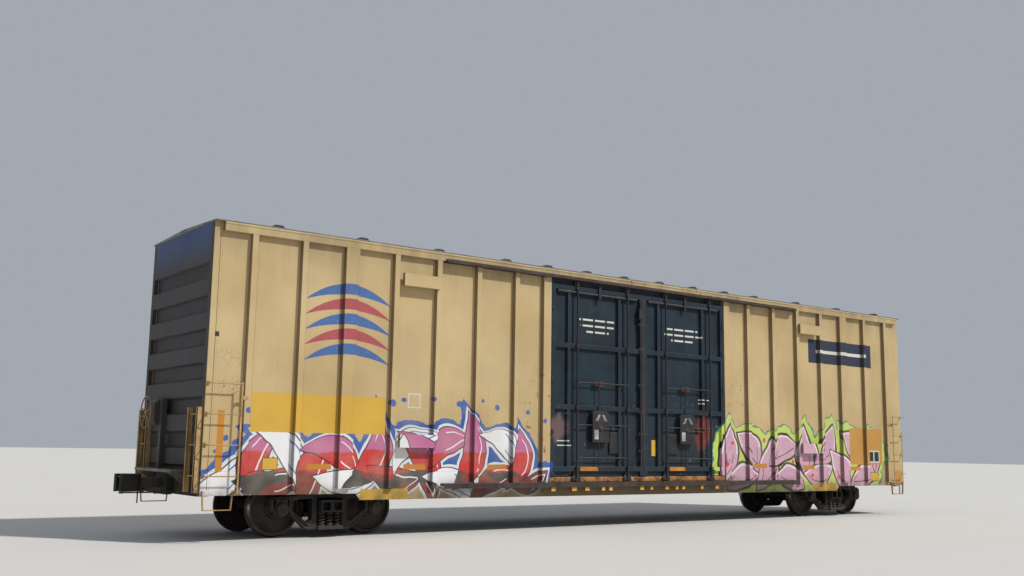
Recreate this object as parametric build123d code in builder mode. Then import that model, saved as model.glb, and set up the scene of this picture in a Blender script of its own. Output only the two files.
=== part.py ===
from build123d import *
import os

# Railroad boxcar, double plug doors, on two three-piece trucks. Millimetres, +Z up.
# Origin: middle of the car on the plane under the wheel flanges. +X is the A end, -Y the near side.

# Rail and wheel levels
flange_height = 25.4
rail_top = flange_height
tread_radius = 457.2
axle_z = rail_top + tread_radius

# Overall body
half_length = 9450.0
end_wall_thickness = 192.0
inside_half_length = half_length - end_wall_thickness
inside_half_width = 1448.0
sheet = 12.0
post_depth = 80.0
sheet_face = inside_half_width + sheet
post_face = sheet_face + post_depth
floor_top = rail_top + 1090.0
floor_thickness = 60.0
floor_under = floor_top - floor_thickness
eave_bottom = rail_top + 4925.0
eave_height = 155.0
eave_top = eave_bottom + eave_height
roof_edge = 18.0
roof_rise = 72.0

# Trucks under the body
truck_overhang = 2450.0
truck_centre = half_length - truck_overhang
axle_offset = 889.0

# Side sills, deeper between the trucks
sill_bottom_end = rail_top + 715.0
sill_bottom_deep = rail_top + 605.0
deep_sill_inset = 370.0
deep_half_length = truck_centre - deep_sill_inset
sill_slope = 90.0
sill_flange = 80.0

# Corner posts and end walls
corner_inner_y = 1340.0
corner_leg = 150.0
corner_inner_x = half_length - corner_leg
corner_round = 20.0
corrugation_depth = 75.0
corrugation_pitch = 542.0
corrugation_flat = 262.0
corrugation_slope = 34.0
corrugation_first = rail_top + 4430.0
corrugation_count = 7

# Door opening and leaves
opening_half = 2510.0
door_gap = 6.0
door_bottom = rail_top + 990.0
door_top = rail_top + 4800.0
sill_door_top = door_bottom - 10.0
header_bottom = door_top + 6.0
door_panel = 27.0
door_frame_depth = 55.0
door_face = inside_half_width + door_panel + door_frame_depth
door_edge_width = 100.0
door_beam_height = 92.0
leaf_half = (2 * opening_half - 3 * door_gap) / 4
leaf_centre = leaf_half + door_gap / 2

# Door tracks
upper_track_half = 5050.0
upper_track_bottom = rail_top + 4900.0
upper_track_top = rail_top + 4960.0
upper_track_face = 1620.0
upper_track_round = 90.0
track_lip = 14.0
lower_track_half = 5000.0
lower_track_top = rail_top + 875.0
lower_track_bottom = rail_top + 780.0
lower_track_face = 1592.0
lower_track_shelf = rail_top + 845.0

# Side posts, counted from the door outward
post_face_width = 105.0
post_foot = 26.0
door_post_width = 190.0
bolster_post_width = 260.0
post_bottom = rail_top + 800.0
first_bay = 752.0
corner_bay = 680.0
door_post_x = opening_half + (door_post_width + post_foot) / 2
first_post_x = door_post_x + first_bay
last_post_x = half_length - corner_bay
post_pitch = (last_post_x - first_post_x) / 6
post_table = [
    # middle of the post, face width
    (door_post_x, door_post_width),
    (first_post_x, post_face_width),
    (first_post_x + post_pitch, post_face_width),
    (first_post_x + 2 * post_pitch, post_face_width),
    (first_post_x + 3 * post_pitch, post_face_width),
    (first_post_x + 4 * post_pitch, bolster_post_width),
    (first_post_x + 5 * post_pitch, post_face_width),
    (last_post_x, post_face_width),
]

# Couplers and the lines along the car
coupler_z = rail_top + 876.0
pulling_face = half_length + 850.0
striker_depth = 110.0
striker_x = half_length + striker_depth
pipe_z = rail_top + 740.0
pipe_y = 300.0
pipe_hole = 60.0

# Underframe
centre_sill_bottom = rail_top + 700.0
centre_sill_half = 176.0
centre_sill_web = 13.0
centre_sill_flange = 84.0
bearing_plane = rail_top + 654.0
centre_plate_radius = 203.0
centre_plate_base = 20.0
plate_sides = 16
bolster_half_x = 190.0
bolster_under = rail_top + 735.0
bolster_tip_under = rail_top + 830.0
side_bearing_y = 635.0
side_bearing_gap = 6.0
wear_plate = 20.0
cross_bearer_depth = 170.0
cross_bearer_width = 110.0
inner_bearer_x = 900.0
cross_bearer_under = pipe_z + pipe_hole
cross_bearer_table = [inner_bearer_x, door_post_x, first_post_x + post_pitch, deep_half_length - 1230.0]


def wall_plane(side, depth):
    """Plane on a side wall: x runs along the car to the viewer's right, y is up, z points outward."""
    return Plane(origin=(0, side * depth, 0), x_dir=(-side, 0, 0), z_dir=(0, side, 0))


def end_plane(end, depth):
    """Plane on an end wall: x runs to the viewer's right, y is up, z points outward."""
    return Plane(origin=(end * depth, 0, 0), x_dir=(0, end, 0), z_dir=(end, 0, 0))


def level_plane(end, z):
    """Level plane at one end of the car: x runs outward along the car."""
    return Plane(origin=(0, 0, z), x_dir=(end, 0, 0), z_dir=(0, 0, 1))


def rect(x0, x1, y0, y1):
    """A rectangle in the active sketch between two corners."""
    with Locations(((x0 + x1) / 2, (y0 + y1) / 2)):
        Rectangle(abs(x1 - x0), abs(y1 - y0))


def face(*points, mode=Mode.ADD):
    """A closed outline of straight lines in the active sketch."""
    Polygon(*points, align=None, mode=mode)


def save(name, builder):
    builder.part.label = name
    export_step(builder.part, f"parts/{name}.step")


os.makedirs("parts", exist_ok=True)

# Floor
with BuildPart() as floor:
    with BuildSketch(Plane.XY.offset(floor_under)):
        Rectangle(2 * inside_half_length, 2 * inside_half_width)
    extrude(amount=floor_thickness)
save("floor", floor)

# Centre sill: two webs under a top plate, with bottom flanges
with BuildPart() as centre_sill:
    with BuildSketch(Plane.YZ.offset(-half_length)):
        rect(-centre_sill_half, centre_sill_half, floor_under - centre_sill_web, floor_under)
        for way in (-1, 1):
            web_in = way * (centre_sill_half - centre_sill_web)
            rect(web_in, way * centre_sill_half, centre_sill_bottom, floor_under)
            rect(way * centre_sill_half, way * (centre_sill_half + centre_sill_flange),
                 centre_sill_bottom, centre_sill_bottom + centre_sill_web)
    extrude(amount=2 * half_length)
save("centre_sill", centre_sill)

# Side sills: a plate that is deeper between the trucks, with a flange along its foot
with BuildPart() as side_sills:
    with BuildSketch(wall_plane(-1, inside_half_width)):
        face(
            (-corner_inner_x, floor_top), (-corner_inner_x, sill_bottom_end),
            (-deep_half_length - sill_slope, sill_bottom_end), (-deep_half_length, sill_bottom_deep),
            (deep_half_length, sill_bottom_deep), (deep_half_length + sill_slope, sill_bottom_end),
            (corner_inner_x, sill_bottom_end), (corner_inner_x, floor_top),
            (opening_half, floor_top), (opening_half, sill_door_top),
            (-opening_half, sill_door_top), (-opening_half, floor_top))
    extrude(amount=sheet)
    with BuildSketch(Plane.XY.offset(sill_bottom_deep)):
        rect(-deep_half_length, deep_half_length, -inside_half_width, -inside_half_width + sill_flange)
    extrude(amount=sheet)
    with BuildSketch(Plane.XY.offset(sill_bottom_end)):
        for end in (-1, 1):
            rect(end * (deep_half_length + sill_slope), end * inside_half_length,
                 -inside_half_width, -inside_half_width + sill_flange)
    extrude(amount=sheet)
    mirror(about=Plane.XZ)
save("side_sills", side_sills)

# Body bolsters: four arms from the centre sill out to the side sills, with a hole for the train pipe
bolster_flat = 165.0
with BuildPart() as body_bolsters:
    with BuildSketch(Plane.YZ.offset(truck_centre - bolster_half_x)):
        face(
            (centre_sill_half, floor_under), (centre_sill_half, bolster_under),
            (side_bearing_y + bolster_flat, bolster_under), (inside_half_width, bolster_tip_under),
            (inside_half_width, floor_under))
        with Locations((pipe_y, bolster_under)):
            Rectangle(pipe_hole, 2 * pipe_hole, mode=Mode.SUBTRACT)
    extrude(amount=2 * bolster_half_x)
    with BuildSketch(Plane.XY.offset(bolster_under)):
        with Locations((truck_centre, side_bearing_y)):
            Rectangle(260, 130)
    extrude(amount=-wear_plate)
    mirror(about=Plane.XZ)
    mirror(about=Plane.YZ)
save("body_bolsters", body_bolsters)

# Body centre plates under the centre sill
with BuildPart() as centre_plates:
    with BuildSketch(Plane.XY.offset(centre_sill_bottom)):
        with Locations((truck_centre, 0)):
            Rectangle(560, 2 * centre_sill_half + 2 * centre_sill_flange)
    extrude(amount=-centre_plate_base)
    with BuildSketch(Plane.XY.offset(centre_sill_bottom - centre_plate_base)):
        with Locations((truck_centre, 0)):
            RegularPolygon(centre_plate_radius, plate_sides)
    extrude(amount=-(centre_sill_bottom - centre_plate_base - bearing_plane))
    mirror(about=Plane.YZ)
save("centre_plates", centre_plates)

# Cross bearers
with BuildPart() as cross_bearers:
    for bearer_x in cross_bearer_table:
        with BuildSketch(Plane.YZ.offset(bearer_x - cross_bearer_width / 2)):
            face(
                (centre_sill_half, floor_under), (centre_sill_half, cross_bearer_under),
                (pipe_y + 3 * pipe_hole, cross_bearer_under), (inside_half_width, floor_under - cross_bearer_depth),
                (inside_half_width, floor_under))
        extrude(amount=cross_bearer_width)
    mirror(about=Plane.XZ)
    mirror(about=Plane.YZ)
save("cross_bearers", cross_bearers)

# Side sheets
with BuildPart() as side_sheets:
    with BuildSketch(wall_plane(-1, inside_half_width)):
        for end in (-1, 1):
            rect(end * opening_half, end * corner_inner_x, floor_top, eave_bottom)
    extrude(amount=sheet)
    mirror(about=Plane.XZ)
save("side_sheets", side_sheets)

# Side plates: the long members under the roof edge, with the header over the doors
drip = 8.0
with BuildPart() as side_plates:
    with BuildSketch(Plane.YZ.offset(-corner_inner_x)):
        face(
            (-inside_half_width, eave_bottom), (-post_face, eave_bottom), (-post_face, eave_top - 6 * drip),
            (-post_face - drip, eave_top - 5 * drip), (-post_face - drip, eave_top - 3 * drip),
            (-post_face + drip, eave_top), (-inside_half_width, eave_top))
    extrude(amount=2 * corner_inner_x)
    with BuildSketch(wall_plane(-1, sheet_face)):
        rect(-upper_track_half, upper_track_half, eave_bottom - 10, upper_track_top)
    extrude(amount=post_depth * 2, mode=Mode.SUBTRACT)
    with BuildSketch(wall_plane(-1, inside_half_width)):
        rect(-opening_half, opening_half, header_bottom, eave_bottom)
    extrude(amount=sheet)
    mirror(about=Plane.XZ)
save("side_plates", side_plates)

# Side posts: hat-section posts standing on the sheets; those within the door tracks end between them
with BuildPart() as side_posts:
    for post_x, face_width in post_table:
        at_track = post_x < min(upper_track_half, lower_track_half)
        low = lower_track_top if at_track else post_bottom
        high = upper_track_bottom if at_track else eave_bottom
        with BuildSketch(Plane.XY.offset(low)):
            face((post_x - (face_width + post_foot) / 2, -sheet_face), (post_x - face_width / 2, -post_face),
                 (post_x + face_width / 2, -post_face), (post_x + (face_width + post_foot) / 2, -sheet_face))
        extrude(amount=high - low)
    mirror(about=Plane.XZ)
    mirror(about=Plane.YZ)
save("side_posts", side_posts)

# Corner posts
with BuildPart() as corner_posts:
    with BuildSketch(Plane.XY.offset(sill_bottom_end)):
        face(
            (inside_half_length, corner_inner_y), (half_length, corner_inner_y),
            (half_length, sheet_face), (corner_inner_x, sheet_face),
            (corner_inner_x, inside_half_width), (inside_half_length, inside_half_width))
    extrude(amount=eave_top - sill_bottom_end)
    outer_edges = corner_posts.edges().filter_by(Axis.Z).group_by(Axis.X)[-1].sort_by(Axis.Y)[-1]
    fillet(outer_edges, corner_round)
    mirror(about=Plane.XZ)
    mirror(about=Plane.YZ)
save("corner_posts", corner_posts)


def end_wall(end, name):
    """An end wall: flat inside, horizontal corrugations outside."""
    shallow = half_length - corrugation_depth
    outline = [(end * inside_half_length, eave_top), (end * half_length, eave_top)]
    for i in range(corrugation_count):
        low = corrugation_first - i * corrugation_pitch
        outline.append((end * half_length, low))
        outline.append((end * shallow, low - corrugation_slope))
        outline.append((end * shallow, low - corrugation_pitch + corrugation_flat + corrugation_slope))
        outline.append((end * half_length, low - corrugation_pitch + corrugation_flat))
    outline = [p for p in outline if p[1] > floor_top]
    outline.append((outline[-1][0], floor_top))
    outline.append((end * inside_half_length, floor_top))
    with BuildPart() as wall:
        with BuildSketch(Plane.XZ.offset(-corner_inner_y)):
            face(*outline)
        extrude(amount=2 * corner_inner_y)
    save(name, wall)


end_wall(-1, "end_wall_b")
end_wall(1, "end_wall_a")

# End sills, notched over the centre sill and bored for the train pipe
with BuildPart() as end_sills:
    with BuildSketch(Plane.YZ.offset(inside_half_length)):
        rect(-corner_inner_y, corner_inner_y, centre_sill_bottom, floor_top)
        with Locations((0, (centre_sill_bottom + floor_under) / 2)):
            Rectangle(2 * (centre_sill_half + centre_sill_flange), floor_under - centre_sill_bottom,
                      mode=Mode.SUBTRACT)
        with Locations((-pipe_y, pipe_z), (pipe_y, pipe_z)):
            Rectangle(pipe_hole, 2 * (pipe_z - centre_sill_bottom), mode=Mode.SUBTRACT)
    extrude(amount=end_wall_thickness)
    mirror(about=Plane.YZ)
save("end_sills", end_sills)

# Roof: low pitch with seam caps across it
seam_cap_table = [520.0, 1560.0, 2600.0, 3630.0, 5180.0, 6780.0, 8380.0]
seam_cap_width = 90.0
seam_cap_height = 14.0
seam_cap_inset = 20.0
with BuildPart() as roof:
    with BuildSketch(Plane.YZ.offset(-half_length)):
        face(
            (-post_face, eave_top), (post_face, eave_top), (post_face, eave_top + roof_edge),
            (0, eave_top + roof_rise), (-post_face, eave_top + roof_edge))
    extrude(amount=2 * half_length)
    for cap_x in seam_cap_table:
        for end in (-1, 1):
            with BuildSketch(Plane.YZ.offset(end * cap_x - seam_cap_width / 2)):
                face(
                    (-post_face + seam_cap_inset, eave_top + roof_edge / 2),
                    (post_face - seam_cap_inset, eave_top + roof_edge / 2),
                    (post_face - seam_cap_inset, eave_top + roof_edge + seam_cap_height),
                    (0, eave_top + roof_rise + seam_cap_height),
                    (-post_face + seam_cap_inset, eave_top + roof_edge + seam_cap_height))
            extrude(amount=seam_cap_width)
save("roof", roof)

# Door leaves
beam_table = [rail_top + 1085.0, rail_top + 2300.0, rail_top + 3528.0, rail_top + 4698.0]
rib_table = [-800.0, 570.0]
rib_width = 70.0


def door_leaf(side, hand, name):
    """One plug-door leaf. hand is -1 for the left leaf and 1 for the right, seen from outside."""
    centre = hand * leaf_centre
    with BuildPart() as leaf:
        with BuildSketch(wall_plane(side, inside_half_width)):
            rect(centre - leaf_half, centre + leaf_half, door_bottom, door_top)
        extrude(amount=door_panel)
        with BuildSketch(wall_plane(side, inside_half_width + door_panel)):
            for edge in (-1, 1):
                rect(centre + edge * leaf_half, centre + edge * (leaf_half - door_edge_width),
                     door_bottom, door_top)
            for beam_z in beam_table:
                rect(centre - leaf_half, centre + leaf_half, beam_z, beam_z + door_beam_height)
            for rib_x in rib_table:
                rect(centre + rib_x - rib_width / 2, centre + rib_x + rib_width / 2,
                     beam_table[0], beam_table[-1] + door_beam_height)
        extrude(amount=door_frame_depth)
    save(name, leaf)


door_leaf(-1, -1, "door_near_left")
door_leaf(-1, 1, "door_near_right")
door_leaf(1, -1, "door_far_left")
door_leaf(1, 1, "door_far_right")

# Lock pipes on the doors: each stands on a roller bracket at the lower track and reaches the upper track
pipe_table = [-600.0, 780.0]
lock_pipe_radius = 19.0
lock_pipe_half = 1.1547 * lock_pipe_radius
guide_depth = 8.0
lock_pipe_depth = door_face + guide_depth + lock_pipe_radius
guide_half = 45.0
bracket_half = 110.0
bracket_top = beam_table[0] + 16.0
with BuildPart() as door_lock_pipes:
    for side in (-1, 1):
        for hand in (-1, 1):
            for pipe_x in pipe_table:
                across = hand * leaf_centre + pipe_x
                with BuildSketch(Plane.XY.offset(lower_track_top)):
                    with Locations((-side * across, side * lock_pipe_depth)):
                        RegularPolygon(lock_pipe_radius, 6, major_radius=False)
                extrude(amount=upper_track_bottom - lower_track_top)
                with BuildSketch(wall_plane(side, door_face)):
                    for beam_z in beam_table[1:]:
                        rect(across - guide_half, across + guide_half, beam_z + 16, beam_z + door_beam_height - 16)
                    face((across - bracket_half, lower_track_top), (across + bracket_half, lower_track_top),
                         (across + guide_half, bracket_top), (across - guide_half, bracket_top))
                extrude(amount=lock_pipe_depth - lock_pipe_radius - door_face)
save("door_lock_pipes", door_lock_pipes)

# Gear boxes on the doors: a box with bevelled edges, its shaft hub and the crank handle
gear_half = 220.0
gear_bottom = rail_top + 1660.0
gear_top = rail_top + 2290.0
gear_offset = 10.0
gear_depth = door_frame_depth + 60.0
gear_bevel = 20.0
hub_z = rail_top + 1930.0
hub_depth = 16.0
handle_depth = 14.0
handle_half = 20.0
handle_length = 430.0
with BuildPart() as door_gear_boxes:
    for side in (-1, 1):
        for hand in (-1, 1):
            middle = hand * leaf_centre + gear_offset
            gear_face = inside_half_width + door_panel + gear_depth
            with BuildSketch(Plane.YZ.offset(-side * middle - gear_half)):
                back_y = side * (gear_face - gear_depth)
                bevel_y = side * (gear_face - gear_bevel)
                front_y = side * gear_face
                face((back_y, gear_bottom), (bevel_y, gear_bottom), (front_y, gear_bottom + gear_bevel),
                     (front_y, gear_top - gear_bevel), (bevel_y, gear_top), (back_y, gear_top))
            extrude(amount=2 * gear_half)
            with BuildSketch(wall_plane(side, gear_face)):
                with Locations((middle, hub_z)):
                    RegularPolygon(48, 8)
            extrude(amount=hub_depth)
            with BuildSketch(wall_plane(side, gear_face + hub_depth)):
                rect(middle - handle_half, middle + handle_length, hub_z - handle_half, hub_z + handle_half)
            extrude(amount=handle_depth)
save("door_gear_boxes", door_gear_boxes)

# Operating rods from the gear boxes to the lock pipes
rod_half = 12.0
rod_low = rail_top + 1350.0
rod_high = rail_top + 2845.0
rod_middle = rail_top + 2000.0
rod_column = -20.0
column_table = [
    # from, to: the upright rods that join a gear box to the rods above and below it
    (gear_top, rod_high - rod_half),
    (rod_low + rod_half, gear_bottom),
]
with BuildPart() as door_operating_rods:
    for side in (-1, 1):
        for hand in (-1, 1):
            middle = hand * leaf_centre
            left = middle + pipe_table[0] + lock_pipe_half
            right = middle + pipe_table[1] - lock_pipe_half
            gear_left = middle + gear_offset - gear_half
            gear_right = middle + gear_offset + gear_half
            for start, stop, rod_z in ((left, right, rod_low), (left, right, rod_high),
                                       (left, gear_left, rod_middle), (gear_right, right, rod_middle)):
                with BuildSketch(Plane.YZ.offset(-side * start)):
                    with Locations((side * lock_pipe_depth, rod_z)):
                        Rectangle(2 * rod_half, 2 * rod_half)
                extrude(amount=-side * (stop - start))
            for bottom, top in column_table:
                with BuildSketch(Plane.XY.offset(bottom)):
                    with Locations((-side * (middle + rod_column), side * lock_pipe_depth)):
                        Rectangle(2 * rod_half, 2 * rod_half)
                extrude(amount=top - bottom)
save("door_operating_rods", door_operating_rods)

# Upper door tracks
with BuildPart() as upper_door_tracks:
    with BuildSketch(Plane.XY.offset(upper_track_bottom)):
        rect(-upper_track_half, upper_track_half, -upper_track_face, -sheet_face)
        fillet(vertices().group_by(Axis.Y)[0], upper_track_round)
    extrude(amount=upper_track_top - upper_track_bottom)
    mirror(about=Plane.XZ)
save("upper_door_tracks", upper_door_tracks)

# Lower door tracks: a shelf with an upright rail
with BuildPart() as lower_door_tracks:
    with BuildSketch(Plane.YZ.offset(-lower_track_half)):
        rect(-lower_track_face, -sheet_face, lower_track_shelf - track_lip, lower_track_shelf)
        rect(-lower_track_face, -lower_track_face + track_lip, lower_track_bottom, lower_track_top)
        rect(-sheet_face - track_lip, -sheet_face, lower_track_shelf, lower_track_top)
    extrude(amount=2 * lower_track_half)
    mirror(about=Plane.XZ)
save("lower_door_tracks", lower_door_tracks)

# Door stops across the posts past the tracks
stop_inner_x = first_post_x + 2 * post_pitch + 10
stop_outer_x = first_post_x + 3 * post_pitch - 110
stop_height = 230.0
stop_depth = 70.0
stop_table = [rail_top + 4370.0, rail_top + 1500.0]
with BuildPart() as door_stops:
    with BuildSketch(wall_plane(-1, post_face)):
        for end in (-1, 1):
            for stop_z in stop_table:
                rect(end * stop_inner_x, end * stop_outer_x, stop_z, stop_z + stop_height)
    extrude(amount=stop_depth)
    mirror(about=Plane.XZ)
save("door_stops", door_stops)

# Side ladders at the corners
rung_first = rail_top + 1015.0
rung_pitch = 483.0
side_rungs = 4
end_rungs = 3
rung_half = 10.0
rung_y = 1596.0
ladder_outer_x = half_length - 40.0
ladder_inner_x = half_length - 560.0
stile_width = 30.0
stile_thickness = 12.0
stile_bottom = rail_top + 740.0
stile_tie = rail_top + 2250.0
tie_half = 20.0
foot_size = 2.4 * rung_half
with BuildPart() as side_ladders:
    rungs_z = [rung_first + i * rung_pitch for i in range(side_rungs)]
    with BuildSketch(wall_plane(-1, rung_y - stile_thickness / 2)):
        rect(ladder_inner_x - stile_width / 2, ladder_inner_x + stile_width / 2,
             stile_bottom, rungs_z[-1] + stile_width)
    extrude(amount=stile_thickness)
    with BuildSketch(Plane.YZ.offset(ladder_inner_x + stile_width / 2)):
        with Locations(*[(-rung_y, z) for z in rungs_z]):
            Rectangle(2 * rung_half, 2 * rung_half)
    extrude(amount=ladder_outer_x - foot_size / 2 - ladder_inner_x - stile_width / 2)
    with BuildSketch(wall_plane(-1, sheet_face)):
        with Locations(*[(ladder_outer_x, z) for z in rungs_z]):
            Rectangle(foot_size, foot_size)
    extrude(amount=rung_y + rung_half - sheet_face)
    with BuildSketch(wall_plane(-1, sheet_face)):
        rect(ladder_inner_x - stile_width / 2, ladder_inner_x + stile_width / 2,
             stile_bottom, stile_bottom + 2 * tie_half)
    extrude(amount=rung_y - stile_thickness / 2 - sheet_face)
    with BuildSketch(wall_plane(-1, post_face)):
        rect(last_post_x - tie_half, ladder_inner_x + stile_width / 2, stile_tie - tie_half, stile_tie + tie_half)
    extrude(amount=rung_y - stile_thickness / 2 - post_face)
    mirror(about=Plane.XZ)
    mirror(about=Plane.YZ)
save("side_ladders", side_ladders)

# Sill steps under the corners
step_outer_x = half_length - 30.0
step_inner_x = half_length - 540.0
step_bottom = rail_top + 485.0
step_top = rail_top + 790.0
step_bar = 14.0
step_depth = 40.0
step_splay = 24.0
with BuildPart() as sill_steps:
    with BuildSketch(wall_plane(-1, sheet_face)):
        face((step_inner_x + step_splay, step_bottom), (step_outer_x - step_splay, step_bottom),
             (step_outer_x, step_top), (step_inner_x, step_top))
        offset(amount=-step_bar, mode=Mode.SUBTRACT)
    extrude(amount=step_depth)
    mirror(about=Plane.XZ)
    mirror(about=Plane.YZ)
save("sill_steps", sill_steps)

# End ladders beside the corner posts: angle stiles and round rungs
end_ladder_outer = 1420.0
end_ladder_inner = 985.0
end_stile_depth = 95.0
end_stile_flange = 45.0
end_stile_bottom = rail_top + 760.0
end_stile_top = rail_top + 2090.0
end_rung_x = half_length + end_stile_depth - 22
with BuildPart() as end_ladders:
    with BuildSketch(Plane.XY.offset(end_stile_bottom)):
        for stile_y, way in ((end_ladder_inner, 1), (end_ladder_outer, -1)):
            rect(half_length, half_length + end_stile_depth, stile_y, stile_y + way * stile_thickness)
            rect(half_length + end_stile_depth - stile_thickness, half_length + end_stile_depth,
                 stile_y, stile_y + way * end_stile_flange)
    extrude(amount=end_stile_top - end_stile_bottom)
    with BuildSketch(Plane.XZ.offset(-end_ladder_inner - stile_thickness)):
        with Locations(*[(end_rung_x - stile_thickness, rung_first + i * rung_pitch) for i in range(end_rungs)]):
            Rectangle(2 * rung_half, 2 * rung_half)
    extrude(amount=-(end_ladder_outer - end_ladder_inner - 2 * stile_thickness))
    mirror(about=Plane.XZ)
    mirror(about=Plane.YZ)
save("end_ladders", end_ladders)

# Crossover platforms: slotted walkway on two brackets
platform_half = 900.0
platform_depth = 270.0
platform_z = rail_top + 1100.0
platform_thickness = 45.0
platform_slots = 4
platform_rim = 26.0
slot_width = (platform_depth - platform_rim) / platform_slots - platform_rim
bracket_y = 720.0
bracket_thickness = 12.0
bracket_foot = rail_top + 860.0
with BuildPart() as crossover_platforms:
    with BuildSketch(Plane.XY.offset(platform_z - platform_thickness)):
        rect(half_length, half_length + platform_depth, -platform_half, platform_half)
        with Locations((half_length + platform_depth / 2, 0)):
            with GridLocations(slot_width + platform_rim, 1, platform_slots, 1):
                Rectangle(slot_width, 2 * (platform_half - platform_rim), mode=Mode.SUBTRACT)
    extrude(amount=platform_thickness)
    for way in (-1, 1):
        with BuildSketch(Plane.XZ.offset(way * bracket_y)):
            face((half_length, platform_z - platform_thickness), (half_length, bracket_foot),
                 (half_length + platform_depth, platform_z - platform_thickness))
        extrude(amount=way * bracket_thickness)
    mirror(about=Plane.YZ)
save("crossover_platforms", crossover_platforms)

# Hand brake on the B end: gear housing, chain guard and wheel
brake_y = 570.0
brake_z = rail_top + 2030.0
housing_half = 190.0
housing_depth = 170.0
housing_bottom = rail_top + 1810.0
housing_top = rail_top + 2255.0
housing_bevel = 70.0
guard_y = 300.0
guard_half = 60.0
guard_depth = 90.0
brake_wheel_radius = 280.0
brake_wheel_x = half_length + 250.0
brake_rim = 11.0
spoke_count = 5
spoke_width = 26.0
brake_hub_radius = 34.0
brake_wheel_sides = 20
with BuildPart() as hand_brake_housing:
    with BuildSketch(Plane.XZ.offset(-brake_y - housing_half)):
        face((-half_length, housing_bottom), (-half_length - housing_depth + housing_bevel, housing_bottom),
             (-half_length - housing_depth, housing_bottom + housing_bevel),
             (-half_length - housing_depth, housing_top - housing_bevel),
             (-half_length - housing_depth + housing_bevel, housing_top), (-half_length, housing_top))
    extrude(amount=2 * housing_half)
    with BuildSketch(end_plane(-1, half_length)):
        rect(-guard_y - guard_half, -guard_y + guard_half, platform_z, housing_top)
    extrude(amount=guard_depth)
save("hand_brake_housing", hand_brake_housing)

with BuildPart() as hand_brake_wheel:
    with BuildSketch(end_plane(-1, brake_wheel_x - brake_rim)):
        with Locations((-brake_y, brake_z)):
            RegularPolygon(brake_wheel_radius, brake_wheel_sides)
            RegularPolygon(brake_wheel_radius - 2 * brake_rim, brake_wheel_sides, mode=Mode.SUBTRACT)
            with PolarLocations((brake_wheel_radius - brake_rim) / 2, spoke_count, start_angle=90):
                Rectangle(brake_wheel_radius - brake_rim, spoke_width)
    extrude(amount=2 * brake_rim)
    with BuildSketch(end_plane(-1, half_length + housing_depth)):
        with Locations((-brake_y, brake_z)):
            RegularPolygon(brake_hub_radius, 8)
    extrude(amount=brake_wheel_x + brake_rim - half_length - housing_depth)
save("hand_brake_wheel", hand_brake_wheel)

# Couplers: shank and head with the guard arm, the knuckle's lugs above and below, and the striker
shank_half = 66.0
shank_height = 170.0
head_height = 280.0
lug_height = 45.0
head_table = [
    # behind the pulling face, to the guard arm's side
    (-390.0, shank_half), (-320.0, 140.0), (-190.0, 190.0), (-20.0, 236.0), (-4.0, 205.0), (-70.0, 146.0),
    (-165.0, 92.0), (-188.0, 52.0), (-188.0, -34.0), (-70.0, -64.0), (-62.0, -150.0), (-120.0, -182.0),
    (-260.0, -170.0), (-390.0, -shank_half),
]
pocket_table = [(-182.0, -30.0), (-60.0, -50.0), (-50.0, -200.0), (-182.0, -200.0)]
knuckle_table = [
    (-176.0, -38.0), (-96.0, -52.0), (-52.0, -30.0), (-22.0, 18.0), (0.0, 6.0), (-2.0, -70.0), (-30.0, -140.0),
    (-80.0, -176.0), (-150.0, -176.0), (-176.0, -150.0),
]
nose_table = [(-58.0, -40.0), (-52.0, -30.0), (-22.0, 18.0), (0.0, 6.0), (-2.0, -70.0), (-30.0, -140.0), (-56.0, -158.0)]
striker_table = [(-250.0, -190.0), (250.0, -190.0), (250.0, 170.0), (-250.0, 170.0)]
with BuildPart() as couplers:
    for end in (-1, 1):
        with BuildSketch(level_plane(end, coupler_z - head_height / 2)):
            face(*[(pulling_face + u, v) for u, v in head_table])
        extrude(amount=head_height)
        with BuildSketch(level_plane(end, coupler_z - head_height / 2 + lug_height)):
            face(*[(pulling_face + u, v) for u, v in pocket_table])
        extrude(amount=head_height - 2 * lug_height, mode=Mode.SUBTRACT)
        with BuildSketch(end_plane(end, half_length)):
            with Locations((0, coupler_z)):
                Rectangle(2 * shank_half, shank_height)
        extrude(amount=pulling_face + head_table[0][0] - half_length)
        with BuildSketch(end_plane(end, half_length)):
            face(*[(across, coupler_z + height) for across, height in striker_table])
            with Locations((0, coupler_z)):
                Rectangle(2 * shank_half, shank_height, mode=Mode.SUBTRACT)
        extrude(amount=striker_depth)
save("couplers", couplers)

# Knuckles: a tail between the lugs and a full-height nose
lug_gap = 6.0
tail_height = head_height - 2 * lug_height - lug_gap
with BuildPart() as knuckles:
    for end in (-1, 1):
        with BuildSketch(level_plane(end, coupler_z - head_height / 2 + lug_height)):
            face(*[(pulling_face + u, v) for u, v in knuckle_table])
        extrude(amount=tail_height)
        with BuildSketch(level_plane(end, coupler_z - head_height / 2)):
            face(*[(pulling_face + u, v) for u, v in nose_table])
        extrude(amount=head_height)
save("knuckles", knuckles)

# Air brake gear under the floor
cylinder_far_x = door_post_x + 740.0
cylinder_length = 620.0
cylinder_y = 620.0
cylinder_radius = 150.0
cylinder_drop = 160.0
strap_width = 60.0
with BuildPart() as brake_cylinder:
    with BuildSketch(Plane.YZ.offset(-cylinder_far_x)):
        with Locations((cylinder_y, floor_under - cylinder_drop)):
            RegularPolygon(cylinder_radius, 16)
    extrude(amount=cylinder_length)
    with BuildSketch(Plane.XY.offset(floor_under)):
        for along in (100.0, cylinder_length - 100.0):
            with Locations((-cylinder_far_x + along, cylinder_y)):
                Rectangle(strap_width, 2 * strap_width)
    extrude(amount=-cylinder_drop)
save("brake_cylinder", brake_cylinder)

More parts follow.
